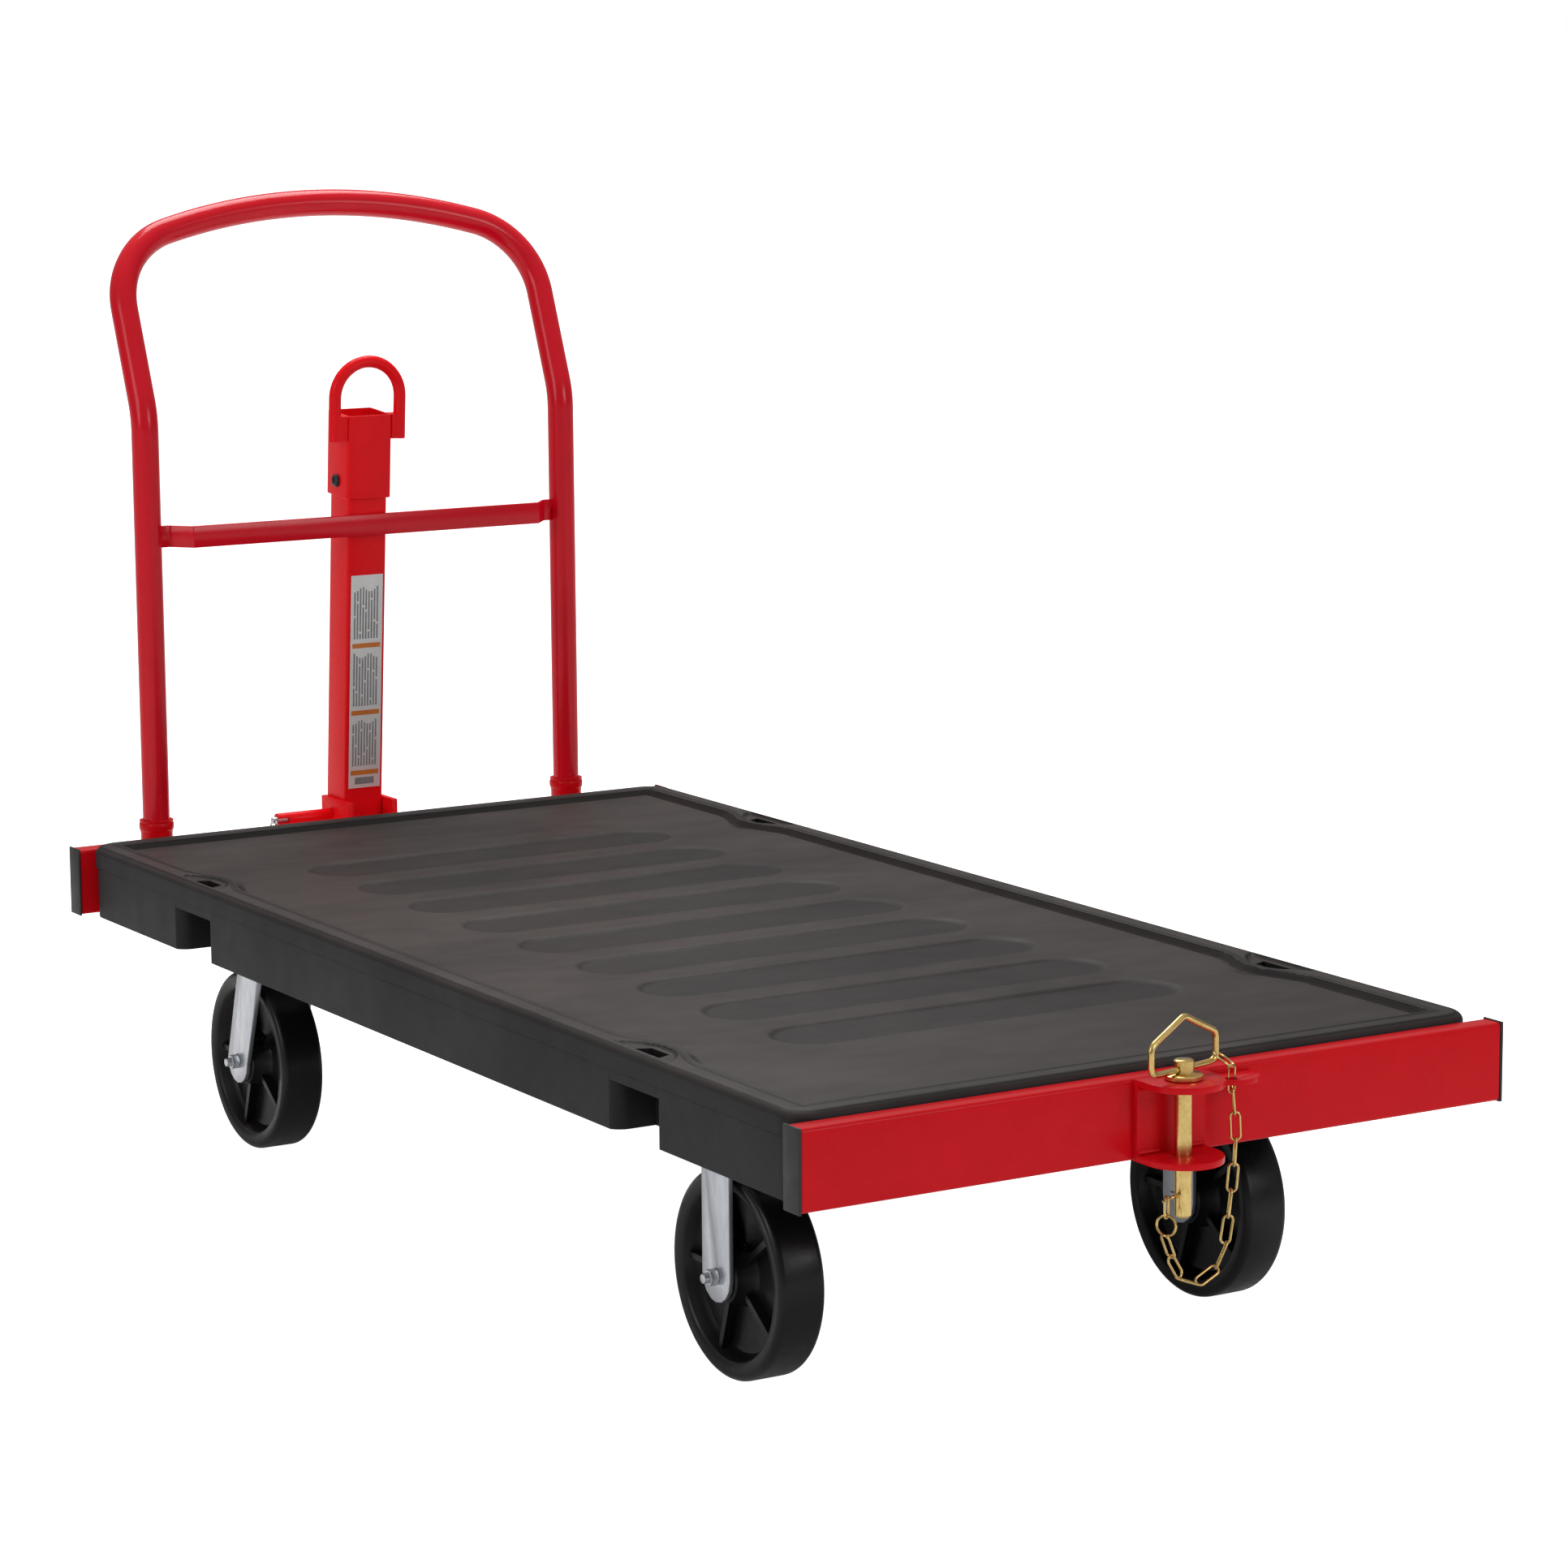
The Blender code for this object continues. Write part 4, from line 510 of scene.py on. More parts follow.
wired(tree, [
    (facing, "True Normal", upward, 0), (upward, "Z", side_shade_blend, "Value"), (side_shade_blend, 0, side_shade_mix, 0),
    (spot, "Object", spot_axes, 0), (spot_axes, "Z", sunk, "Value"), (tone_node, "Colour", shade, 0),
    (sunk, 0, shade, "Scale"), (spot_axes, "Z", rim_line, 0), (rim_line, 0, rim_tone, "Value"),
    (shade, 0, rim_shade, 0), (rim_tone, 0, rim_shade, "Scale"), (rim_shade, 0, side_shade_mix, 7),
    (spot_axes, "Z", near_line, 0), (near_line, 0, step_line_mix, 0), (step_line_mix, 2, side_shade_mix, 6),
    (side_shade_mix, 2, tree.nodes["Principled BSDF"], "Base Color")])
finished("deck_tray", smoothed(deck_mesh), "cart_frame", deck_plastic, "deck")


# ---------------------------------------------------------------- end members
# Two 3 x 1 inch steel tubes across the cart's ends, powder coated red, with moulded caps pressed into them.
MEMBER_WALL, MEMBER_ROUND = 0.0030, 0.0038


def rounded_outline(width, height, radius, steps=4):
    """A rectangle's outline with round corners, counter-clockwise."""
    points = []
    for quarter, (sx, sy) in enumerate(((1, 1), (-1, 1), (-1, -1), (1, -1))):
        for step in range(steps + 1):
            angle = math.pi / 2 * (quarter + step / steps)
            points.append((sx * (width / 2 - radius) + radius * math.cos(angle),
                           sy * (height / 2 - radius) + radius * math.sin(angle)))
    return points


def tube_run(name, width, height, wall, corner, length, turn):
    """A rectangular tube, open at its ends, along its own Z from 0 to the length, then turned into place."""
    outer = rounded_outline(width, height, corner)
    inner = rounded_outline(width - 2 * wall, height - 2 * wall, max(corner - wall, 0.0008))
    count = len(outer)
    lip = wall * 0.18
    near = rounded_outline(width - 2 * lip, height - 2 * lip, max(corner - lip, 0.0006))
    rings = [(inner, 0.0), (near, 0.0), (outer, lip), (outer, length - lip), (near, length), (inner, length)]
    points = [(x, y, z) for outline, z in rings for x, y in outline]
    faces = [
        (ring * count + i, ring * count + (i + 1) % count,
         (ring + 1) % len(rings) * count + (i + 1) % count, (ring + 1) % len(rings) * count + i)
        for ring in range(len(rings)) for i in range(count)
    ]
    mesh = bpy.data.meshes.new(name)
    mesh.from_pydata(points, [], faces)
    mesh.transform(turn)
    return smoothed(merged(mesh), 40.0)


def basis(origin, x_axis, y_axis):
    """A frame from two of its axes."""
    x_axis, y_axis = Vector(x_axis).normalized(), Vector(y_axis).normalized()
    made = Matrix((x_axis, y_axis, x_axis.cross(y_axis))).transposed().to_4x4()
    return Matrix.Translation(origin) @ made


FRAME_LIGHT, FRAME_DARK = (0.690, 0.0050, 0.0110), (0.630, 0.0040, 0.0090)
frame_red = finish_of("frame_red", FRAME_LIGHT, FRAME_DARK, 0.26, scale=9.0, gloss=0.13, peel=260.0, bump=0.08,
                      depth=0.0001, swing=0.06)
for end in ("front", "rear"):
    low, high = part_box(f"{end}_member")
    middle = (low + high) / 2
    start = basis((low.x, middle.y, middle.z), (0, 1, 0), (0, 0, 1))
    mesh = tube_run(f"{end}_end_member", high.y - low.y, high.z - low.z, MEMBER_WALL, MEMBER_ROUND, high.x - low.x,
                    start)
    finished(f"{end}_end_member", mesh, "cart_frame", frame_red, f"{end}_member")


def softened(node, width, segments=2, angle=28.0, pierced=False):
    """A copy of a node with its doubles merged and its edges broken by a small bevel.

    Its flat faces are made whole first, but not in a pierced node, whose holes that would close.
    """
    work = bmesh.new()
    work.from_mesh(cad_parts[node].data)
    bmesh.ops.remove_doubles(work, verts=work.verts, dist=0.00001)
    if not pierced:
        bmesh.ops.dissolve_limit(work, angle_limit=math.radians(1.0), verts=work.verts, edges=work.edges)
    mesh = bpy.data.meshes.new(node + "_softened")
    work.to_mesh(mesh)
    work.free()
    holder = bpy.data.objects.new("softening", mesh)
    scene.collection.objects.link(holder)
    bevel = holder.modifiers.new("broken_edges", "BEVEL")
    bevel.width, bevel.segments = width, segments
    bevel.limit_method, bevel.angle_limit = "ANGLE", math.radians(angle)
    bevel.use_clamp_overlap = True
    return smoothed(evaluated_copy(holder), 35.0)


def restyled(name, node, body, surface, width, *bevel, **shape):
    """A finished piece that is a softened copy of one node."""
    return finished(name, softened(node, width, *bevel, **shape), body, surface, node)


cap_plastic = finish_of("cap_plastic", (0.040, 0.038, 0.040), (0.026, 0.025, 0.027), 0.55, scale=14.0, gloss=0.35,
                        peel=1500.0, bump=0.25)
for end in ("front", "rear"):
    for side in ("left", "right"):
        node = f"{end}_end_cap_{side}"
        restyled(f"{end}_{side}_end_plug", node, "cart_frame", cap_plastic, 0.0010)


# ---------------------------------------------------------------- rails and caster beams
# Two low tubes run the cart's length, and two channels across it carry the casters; all are black steel.
RAIL_WALL = 0.0025
dark_steel = finish_of("dark_steel", (0.034, 0.036, 0.038), (0.020, 0.021, 0.023), 0.46, metallic=0.3, scale=16.0,
                       peel=420.0, bump=0.15)
for side in ("left", "right"):
    low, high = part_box(f"frame_rail_{side}")
    middle = (low + high) / 2
    start = basis((middle.x, low.y, middle.z), (0, 0, 1), (1, 0, 0))
    mesh = tube_run(f"{side}_rail", high.z - low.z, high.x - low.x, RAIL_WALL, 0.0035, high.y - low.y, start)
    finished(f"{side}_rail", mesh, "cart_frame", dark_steel, f"frame_rail_{side}")
for end in ("front", "rear"):
    node = f"caster_beam_{end}"
    restyled(f"{end}_caster_channel", node, "cart_frame", dark_steel, 0.0016)


# ---------------------------------------------------------------- casters
# Pressed and zinc-plated forks on bolted top plates, 8 x 2 inch phenolic wheels with five ribs to a side,
# a through bolt and a lock nut.  The rear pair swivels on a ball race.
zinc = finish_of("bright_zinc", (0.66, 0.68, 0.71), (0.48, 0.50, 0.54), 0.34, metallic=0.85, stretch=(1, 1, 0.35),
                 scale=34.0, contrast=0.8, peel=700.0, bump=0.10, depth=0.0001, swing=0.16)
wheel_black = finish_of("wheel_black", (0.0080, 0.0070, 0.0072), (0.0040, 0.0036, 0.0038), 0.34, scale=22.0,
                        gloss=0.30, peel=520.0, bump=0.12, depth=0.00015, swing=0.16)
bronze = finish_of("bush_bronze", (0.40, 0.25, 0.11), (0.26, 0.16, 0.08), 0.42, metallic=1.0, scale=60.0)


def lathed(profile, steps, origin, axis, name="turned", closed_profile=True):
    """(along, radius) points turned about an axis through the origin; a radius of 0 closes an end."""
    axis = Vector(axis).normalized()
    across = axis.orthogonal().normalized()
    place = basis(origin, across, axis.cross(across))
    points, faces = [], []
    for along, radius in profile:
        points += [(radius * math.cos(math.tau * i / steps), radius * math.sin(math.tau * i / steps), along)
                   for i in range(steps)]
    count = len(profile)
    for ring in range(count if closed_profile else count - 1):
        a, b = ring * steps, (ring + 1) % count * steps
        faces += [(a + i, a + (i + 1) % steps, b + (i + 1) % steps, b + i) for i in range(steps)]
    mesh = bpy.data.meshes.new(name)
    mesh.from_pydata(points, [], faces)
    mesh.transform(place)
    return smoothed(merged(mesh, 0.000005), 38.0)


def grown(name, base_mesh, tree, values):
    """The plain mesh that a node tree makes from a base mesh, with its named inputs set first."""
    holder = bpy.data.objects.new(name, base_mesh)
    scene.collection.objects.link(holder)
    growth = holder.modifiers.new(name, "NODES")
    growth.node_group = tree
    sockets = {item.name: item.identifier for item in tree.interface.items_tree if item.item_type == "SOCKET"
               and item.in_out == "INPUT"}
    for label, value in values.items():
        growth[sockets[label]] = value
    mesh = evaluated_copy(holder)
    mesh.name = name
    return mesh


def growth_tree(name, inputs):
    """An empty geometry tree that takes a mesh and named sizes, and gives realised geometry of one material."""
    tree = bpy.data.node_groups.new(name, "GeometryNodeTree")
    tree.is_modifier = True
    tree.interface.new_socket("Places", in_out="INPUT", socket_type="NodeSocketGeometry")
    for label, kind, value in inputs:
        tree.interface.new_socket(label, in_out="INPUT", socket_type=kind).default_value = value
    tree.interface.new_socket("Surface", in_out="INPUT", socket_type="NodeSocketMaterial")
    tree.interface.new_socket("Pieces", in_out="OUTPUT", socket_type="NodeSocketGeometry")
    entry, leave = tree.nodes.new("NodeGroupInput"), tree.nodes.new("NodeGroupOutput")
    realise, paint = tree.nodes.new("GeometryNodeRealizeInstances"), tree.nodes.new("GeometryNodeSetMaterial")
    tree.links.new(realise.outputs[0], paint.inputs["Geometry"])
    tree.links.new(entry.outputs["Surface"], paint.inputs["Material"])
    tree.links.new(paint.outputs[0], leave.inputs[0])
    return tree, entry, realise


# Ribs: a bar stands out from each place, along the line from the hub, so many round the wheel.
ribs, ribs_in, ribs_end = growth_tree("wheel_ribs", [
    ("Count", "NodeSocketInt", 5), ("Middle", "NodeSocketFloat", 0.05), ("Length", "NodeSocketFloat", 0.05),
    ("Width", "NodeSocketFloat", 0.006), ("Depth", "NodeSocketFloat", 0.02)])
circle = added(ribs, "GeometryNodeMeshCircle")
bar_size, rib_bar = added(ribs, "ShaderNodeCombineXYZ"), added(ribs, "GeometryNodeMeshCube")
set_out, where = added(ribs, "GeometryNodeInstanceOnPoints"), added(ribs, "GeometryNodeInputPosition")
aim = added(ribs, "FunctionNodeAlignRotationToVector", axis="X", pivot_axis="Z")
wired(ribs, [
    (ribs_in, "Count", circle, "Vertices"), (ribs_in, "Middle", circle, "Radius"),
    (ribs_in, "Length", bar_size, 0), (ribs_in, "Width", bar_size, 1),
    (ribs_in, "Depth", bar_size, 2), (bar_size, 0, rib_bar, "Size"),
    (circle, 0, set_out, "Points"), (rib_bar, 0, set_out, "Instance"),
    (where, 0, aim, "Vector"), (aim, 0, set_out, "Rotation"),
    (set_out, 0, ribs_end, 0),
])

# Plate bolts: a hexagon head on each place, looking down.
heads, heads_in, heads_end = growth_tree("plate_bolts", [
    ("Radius", "NodeSocketFloat", 0.0085), ("Height", "NodeSocketFloat", 0.0055)])
hexagon = added(heads, "GeometryNodeMeshCone", {"Vertices": 6})
waist = added(heads, "ShaderNodeMath", {1: 0.88}, operation="MULTIPLY")
set_heads = added(heads, "GeometryNodeInstanceOnPoints")
wired(heads, [
    (heads_in, "Radius", hexagon, "Radius Bottom"), (heads_in, "Radius", waist, 0),
    (waist, 0, hexagon, "Radius Top"), (heads_in, "Height", hexagon, "Depth"),
    (heads_in, "Places", set_heads, "Points"), (hexagon, 0, set_heads, "Instance"),
    (set_heads, 0, heads_end, 0),
])

WHEEL_RADIUS, TREAD_ROUND, RIM_LIP = 0.1016, 0.0075, 0.0830
WEB_HALF, HUB_EDGE, TREAD_HALF = 0.0060, 0.0265, 0.0254
RIB_COUNT = 5
PLATE_BOLT_X, PLATE_BOLT_Y = 0.0360, 0.0420


def wheel_mesh(name, centre, half_hub):
    """Tread, lipped rim, dished web and hub, turned, with ribs on both sides of the web."""
    side = [(half_hub, 0.0068), (half_hub, HUB_EDGE - 0.0020), (half_hub - 0.0018, HUB_EDGE),
            (WEB_HALF + 0.0050, HUB_EDGE + 0.0028), (WEB_HALF + 0.0010, HUB_EDGE + 0.0062),
            (WEB_HALF, HUB_EDGE + 0.012),
            (WEB_HALF, RIM_LIP - 0.0120), (WEB_HALF + 0.0014, RIM_LIP - 0.0062),
            (WEB_HALF + 0.0060, RIM_LIP - 0.0026),
            (TREAD_HALF - 0.0042, RIM_LIP - 0.0004), (TREAD_HALF - 0.0030, RIM_LIP + 0.0008),
            (TREAD_HALF - 0.0012, RIM_LIP + 0.0030), (TREAD_HALF - 0.0006, WHEEL_RADIUS - TREAD_ROUND - 0.0010)]
    for step in range(7):
        angle = math.pi / 2 * step / 6
        side.append((TREAD_HALF - 0.0004 - TREAD_ROUND * (1 - math.cos(angle)),
                     WHEEL_RADIUS - TREAD_ROUND * (1 - math.sin(angle))))
    profile = side + [(-along, radius) for along, radius in reversed(side)]
    body = lathed(profile, 128, (0, 0, 0), (0, 0, 1))
    rib_length = RIM_LIP - HUB_EDGE + 0.002
    rib_mesh = grown(name + "_ribs", bpy.data.meshes.new("none"), ribs, {
        "Count": RIB_COUNT, "Middle": HUB_EDGE + rib_length / 2 - 0.001, "Length": rib_length, "Width": 0.0062,
        "Depth": 2 * (TREAD_HALF - 0.0085), "Surface": wheel_black})
    whole = joined([body, rib_mesh])
    across = basis(centre, (0, 1, 0), (0, 0, 1))
    whole.transform(across)
    return smoothed(whole, 38.0)


for end, side in ((e, s) for e in ("front", "rear") for s in ("left", "right")):
    corner = f"{end}_{side}"
    rolling = f"{corner}_wheel"
    low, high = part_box(rolling)
    centre = (low + high) / 2
    finished(f"{corner}_tread", wheel_mesh(corner, (centre.x, centre.y, WHEEL_RADIUS), (high.x - low.x) / 2),
             rolling,
             wheel_black, rolling)
    carrier = "cart_frame" if end == "front" else f"rear_{side}_caster"
    restyled(f"{corner}_fork_pressing", f"{corner}_fork", carrier, zinc, 0.0006, pierced=end == "front")
    for node, label in (("axle_bolt", "through_bolt"), ("axle_nut", "lock_nut")):
        restyled(f"{corner}_{label}", f"{corner}_{node}", carrier, zinc, 0.0008)
    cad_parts[f"{corner}_bush"].data.materials.clear()
    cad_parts[f"{corner}_bush"].data.materials.append(bronze)
    if end == "rear":
        for node, label in (("swivel_plate", "top_plate"), ("kingpin", "king_bolt")):
            restyled(f"{corner}_{label}", f"{corner}_{node}", "cart_frame", zinc, 0.0009)
    plate_low, plate_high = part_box(f"{corner}_fork" if end == "front" else f"{corner}_swivel_plate")
    middle = (plate_low + plate_high) / 2
    seats = [(middle.x + sx * PLATE_BOLT_X, middle.y + sy * PLATE_BOLT_Y, plate_high.z - 0.0060 - 0.0056)
             for sx in (-1, 1) for sy in (-1, 1)]
    seat_mesh = bpy.data.meshes.new("seats")
    seat_mesh.from_pydata(seats, [], [])
    bolt_mesh = grown(f"{corner}_plate_bolts", seat_mesh, heads, {"Surface": zinc})
    finished(f"{corner}_plate_bolts", smoothed(merged(bolt_mesh), 30.0), "cart_frame", zinc)


# ---------------------------------------------------------------- push handle
# One bent 1 1/4 inch tube in two flared sockets, with a flat strap welded across it; glossy red.
HANDLE_RADIUS, HANDLE_SIDE = 0.0159, 0.2748
HANDLE_BEND, HANDLE_BEND_RADIUS, HANDLE_LEAN = 0.8120, 0.1000, math.radians(22.0)
HANDLE_CORNER, HANDLE_RISE, HANDLE_SLOPE = 0.0980, 0.2545, math.radians(16.5)
HANDLE_LIGHT, HANDLE_DARK = (0.740, 0.0035, 0.0170), (0.660, 0.0028, 0.0140)
handle_red = finish_of("handle_red", HANDLE_LIGHT, HANDLE_DARK, 0.20, scale=8.0, gloss=0.30, peel=240.0, bump=0.05,
                       depth=0.0001, swing=0.05)
socket_low, socket_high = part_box("handle_socket_right")
handle_y = (socket_low.y + socket_high.y) / 2
tube_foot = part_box("push_handle")[0].z


def wire(name, points, radius, sides=16, closed=False, swell=None):
    """A round bar, tube or bead along points, as a closed mesh; swell gives each point's share of the radius."""
    curve = bpy.data.curves.new(name, "CURVE")
    curve.dimensions, curve.bevel_depth, curve.use_fill_caps = "3D", radius, True
    curve.bevel_resolution = max(sides // 4 - 1, 1)
    spline = curve.splines.new("POLY")
    spline.points.add(len(points) - 1)
    for i, (knot, place) in enumerate(zip(spline.points, points)):
        knot.co = (*place, 1.0)
        knot.radius = swell[i] if swell else 1.0
    spline.use_cyclic_u = closed
    holder = bpy.data.objects.new(name, curve)
    scene.collection.objects.link(holder)
    return smoothed(merged(evaluated_copy(holder), 0.000004), 40.0)


corner_end = HANDLE_SIDE - HANDLE_CORNER * (1 - math.sin(HANDLE_SLOPE))
crown_radius = corner_end / math.sin(HANDLE_SLOPE)
corner_start = HANDLE_RISE - crown_radius * (1 - math.cos(HANDLE_SLOPE)) - HANDLE_CORNER * math.cos(HANDLE_SLOPE)


def leaning(x, along):
    return (x, handle_y + along * math.sin(HANDLE_LEAN), HANDLE_BEND + along * math.cos(HANDLE_LEAN))


half_line = [(HANDLE_SIDE, handle_y, tube_foot), (HANDLE_SIDE, handle_y, 0.60)]
for step in range(11):
    angle = HANDLE_LEAN * step / 10
    half_line.append((HANDLE_SIDE, handle_y + HANDLE_BEND_RADIUS * (1 - math.cos(angle)),
                      HANDLE_BEND - HANDLE_BEND_RADIUS * (math.tan(HANDLE_LEAN / 2) - math.sin(angle))))
for step in range(25):
    angle = (math.pi / 2 - HANDLE_SLOPE) * step / 24
    half_line.append(leaning(HANDLE_SIDE - HANDLE_CORNER * (1 - math.cos(angle)),
                             corner_start + HANDLE_CORNER * math.sin(angle)))
for step in range(1, 13):
    angle = HANDLE_SLOPE * (1 - step / 12)
    half_line.append(leaning(crown_radius * math.sin(angle), HANDLE_RISE - crown_radius * (1 - math.cos(angle))))
handle_line = [(-x, y, z) for x, y, z in half_line] + list(reversed(half_line[:-1]))
finished("handle_tube", wire("handle_tube", handle_line, HANDLE_RADIUS - 0.0001, 32), "cart_frame", handle_red,
         "push_handle")
restyled("handle_strap", "handle_crossbar", "cart_frame", handle_red, 0.0007)
strap_low, strap_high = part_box("handle_crossbar")
socket_outer = (socket_high.x - socket_low.x) / 2
for side, name in ((-1, "left"), (1, "right")):
    seam = []
    for step in range(25):
        angle = math.pi * (0.62 + 0.76 * step / 24)
        seam.append((side * HANDLE_SIDE - side * (HANDLE_RADIUS + 0.0003) * abs(math.cos(angle)),
                     handle_y + (HANDLE_RADIUS + 0.0003) * math.sin(angle) * 0.35,
                     (strap_low.z + strap_high.z) / 2 + 0.0122 * math.sin(math.pi * (step / 12 - 1) / 2)))
    swell = [0.8 + 0.35 * abs(math.sin(step * 1.9)) for step in range(25)]
    finished(f"handle_weld_{name}", wire("weld", seam, 0.0016, 8, swell=swell), "cart_frame", handle_red)
    low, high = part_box(f"handle_socket_{name}")
    outer, inner = socket_outer - 0.0040, HANDLE_RADIUS + 0.0003
    cup = [(0.004, 0.0), (0.004, inner), (0.0800, inner), (0.0800, outer + 0.0010), (0.0795, outer + 0.0014)]
    for step in range(9):
        angle = math.pi * (step / 8 - 0.5)
        cup.append((0.0726 - 0.0046 * math.sin(angle), outer + 0.0008 + 0.0010 * math.cos(angle)))
    cup += [(0.0660, outer + 0.0004), (0.0640, outer), (0.0008, outer), (0.0, outer - 0.0008), (0.0, 0.0)]
    socket_mesh = lathed(cup, 48, ((low.x + high.x) / 2, handle_y, low.z), (0, 0, 1), closed_profile=False)
    finished(f"handle_cup_{name}", socket_mesh, "cart_frame", frame_red, f"handle_socket_{name}")


# ---------------------------------------------------------------- tow bar
# A 2 inch square tube on a pivot bolt between two cheeks, with a bolted-on head and a bent round-bar eye.
# It is a brighter red than the frame, and carries a long white plate of ruled notes with orange bands.
TOW_LEAN, TOW_PIVOT_Z, TOW_WALL = math.radians(4.62), 0.2620, 0.0030
TOW_LIGHT, TOW_DARK = (0.960, 0.0080, 0.0140), (0.900, 0.0060, 0.0120)
tow_red = finish_of("tow_red", TOW_LIGHT, TOW_DARK, 0.28, scale=9.0, gloss=0.12, peel=260.0, bump=0.06,
                    depth=0.0001,
                    swing=0.06)
pivot_low, pivot_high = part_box("tow_pivot_bolt")
tow_y = (pivot_low.y + pivot_high.y) / 2
tow_place = Matrix.Translation((0.0, tow_y, TOW_PIVOT_Z)) @ Matrix.Rotation(TOW_LEAN, 4, "X")


def up_bar(distance, forward=0.0, x=0.0):
    """A place on the tow bar: up from its pivot, forward from its middle and to the right."""
    return tow_place @ Vector((x, -forward, distance))


tube_start = tow_place @ Matrix.Translation((0, 0, -0.0270))
TOW_SIZE, TOW_LENGTH = 0.0508, 0.5530
finished("tow_tube", tube_run("tow_tube", TOW_SIZE, TOW_SIZE, TOW_WALL, 0.0036, TOW_LENGTH, tube_start), "tow_bar",
         tow_red, "tow_bar")
SLEEVE_SIZE = 0.0508 + 0.0006 + 0.0064
sleeve_start = tow_place @ Matrix.Translation((0, 0, 0.4430))
finished("tow_head", tube_run("tow_head", SLEEVE_SIZE, SLEEVE_SIZE, 0.0032, 0.0040, 0.1000, sleeve_start),
         "tow_bar",
         tow_red, "tow_head_sleeve")
EYE_SPAN, EYE_BAR, EYE_FORWARD, EYE_BASE, EYE_CENTRE = 0.0425, 0.0073, 0.0200, 0.5130, 0.5640
eye_line = [up_bar(EYE_BASE, EYE_FORWARD, -EYE_SPAN), up_bar(0.5400, EYE_FORWARD, -EYE_SPAN)]
eye_line += [up_bar(EYE_CENTRE + EYE_SPAN * math.sin(math.pi * i / 32), EYE_FORWARD,
                    -EYE_SPAN * math.cos(math.pi * i / 32))
             for i in range(33)]
eye_line += [up_bar(0.5400, EYE_FORWARD, EYE_SPAN), up_bar(EYE_BASE, EYE_FORWARD, EYE_SPAN)]
eye_parts = [wire("eye", eye_line, EYE_BAR, 20)]
for side in (-1, 1):
    inner = SLEEVE_SIZE / 2 + 0.0003
    pad = block((min(side * inner, side * EYE_SPAN), -EYE_FORWARD - 0.0072, EYE_BASE + 0.0006),
                (max(side * inner, side * EYE_SPAN), -EYE_FORWARD + 0.0072, EYE_BASE + 0.0300))
    pad.transform(tow_place)
    eye_parts.append(pad)
    bead_x = side * (SLEEVE_SIZE / 2 + 0.0018)
    for edge in (-1, 1):
        count = 17
        bead = [up_bar(EYE_BASE + 0.002 + 0.028 * i / (count - 1), EYE_FORWARD + edge * 0.0074,
                       bead_x) for i in range(count)]
        swell = [0.75 + 0.4 * abs(math.sin(i * 1.7 + edge)) for i in range(count)]
        eye_parts.append(wire("bead", bead, 0.0017, 8, swell=swell))
finished("tow_loop", smoothed(joined(eye_parts), 40.0), "tow_bar", tow_red, "tow_eye")
restyled("tow_cheeks", "tow_bracket", "cart_frame", tow_red, 0.0009)
restyled("tow_bolt", "tow_pivot_bolt", "cart_frame", zinc, 0.0010)
restyled("tow_nut", "tow_pivot_nut", "cart_frame", zinc, 0.0009)
for which, rise in (("lower", 0.0190), ("upper", 0.0760)):
    node = f"tow_head_bolt_{which}"
    low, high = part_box(node)
    seat = up_bar(0.4430 + rise)
    face = -SLEEVE_SIZE / 2 - 0.0003
    button = [(low.x, 0.0), (low.x, 0.0016), (low.x + 0.0018, 0.0018), (low.x + 0.0018, 0.0028),
              (low.x + 0.0002, 0.0033),
              (low.x + 0.0006, 0.0056), (low.x + 0.0022, 0.0073), (low.x + 0.0042, 0.0078), (face, 0.0078),
              (face, 0.0050), (high.x - 0.0008, 0.0050), (high.x, 0.0042), (high.x, 0.0)]
    mesh = lathed(button, 32, (0.0, seat.y, seat.z), (1, 0, 0), closed_profile=False)
    finished(f"tow_head_button_{which}", mesh, "tow_bar", dark_steel, node)

# The plate of notes: white, with ruled grey blocks between three orange bands and one grey block at its foot.
LABEL_BASE, LABEL_LONG, LABEL_WIDE = 0.0880, 0.2620, 0.0420
label_white = finish_of("label_white", (0.80, 0.80, 0.79), (0.72, 0.72, 0.71), 0.45, scale=40.0, peel=300.0,
                        bump=0.05)
label_orange = finish_of("label_orange", (0.72, 0.22, 0.03), (0.62, 0.17, 0.02), 0.45, scale=40.0, bump=0.03)
label_grey = finish_of("label_grey", (0.30, 0.30, 0.31), (0.20, 0.20, 0.21), 0.50, scale=60.0, bump=0.03)
restyled("note_plate", "tow_bar_label", "tow_bar", label_white, 0.0002)
label_face = 0.0254 + 0.0003 + 0.0005


def printed(name, cells, surface):
    """Thin printed blocks on the plate: (along from, along to, across from, across to) shares of its size."""
    blocks = []
    for low_along, high_along, low_across, high_across in cells:
        cell = block((LABEL_WIDE * (low_across - 0.5), -label_face - 0.00012, LABEL_BASE + LABEL_LONG * low_along),
                     (LABEL_WIDE * (high_across - 0.5), -label_face + 0.00010,
                      LABEL_BASE + LABEL_LONG * high_along))
        cell.transform(tow_place)
        blocks.append(cell)
    return finished(name, joined(blocks), "tow_bar", surface, slot_name="label_white")


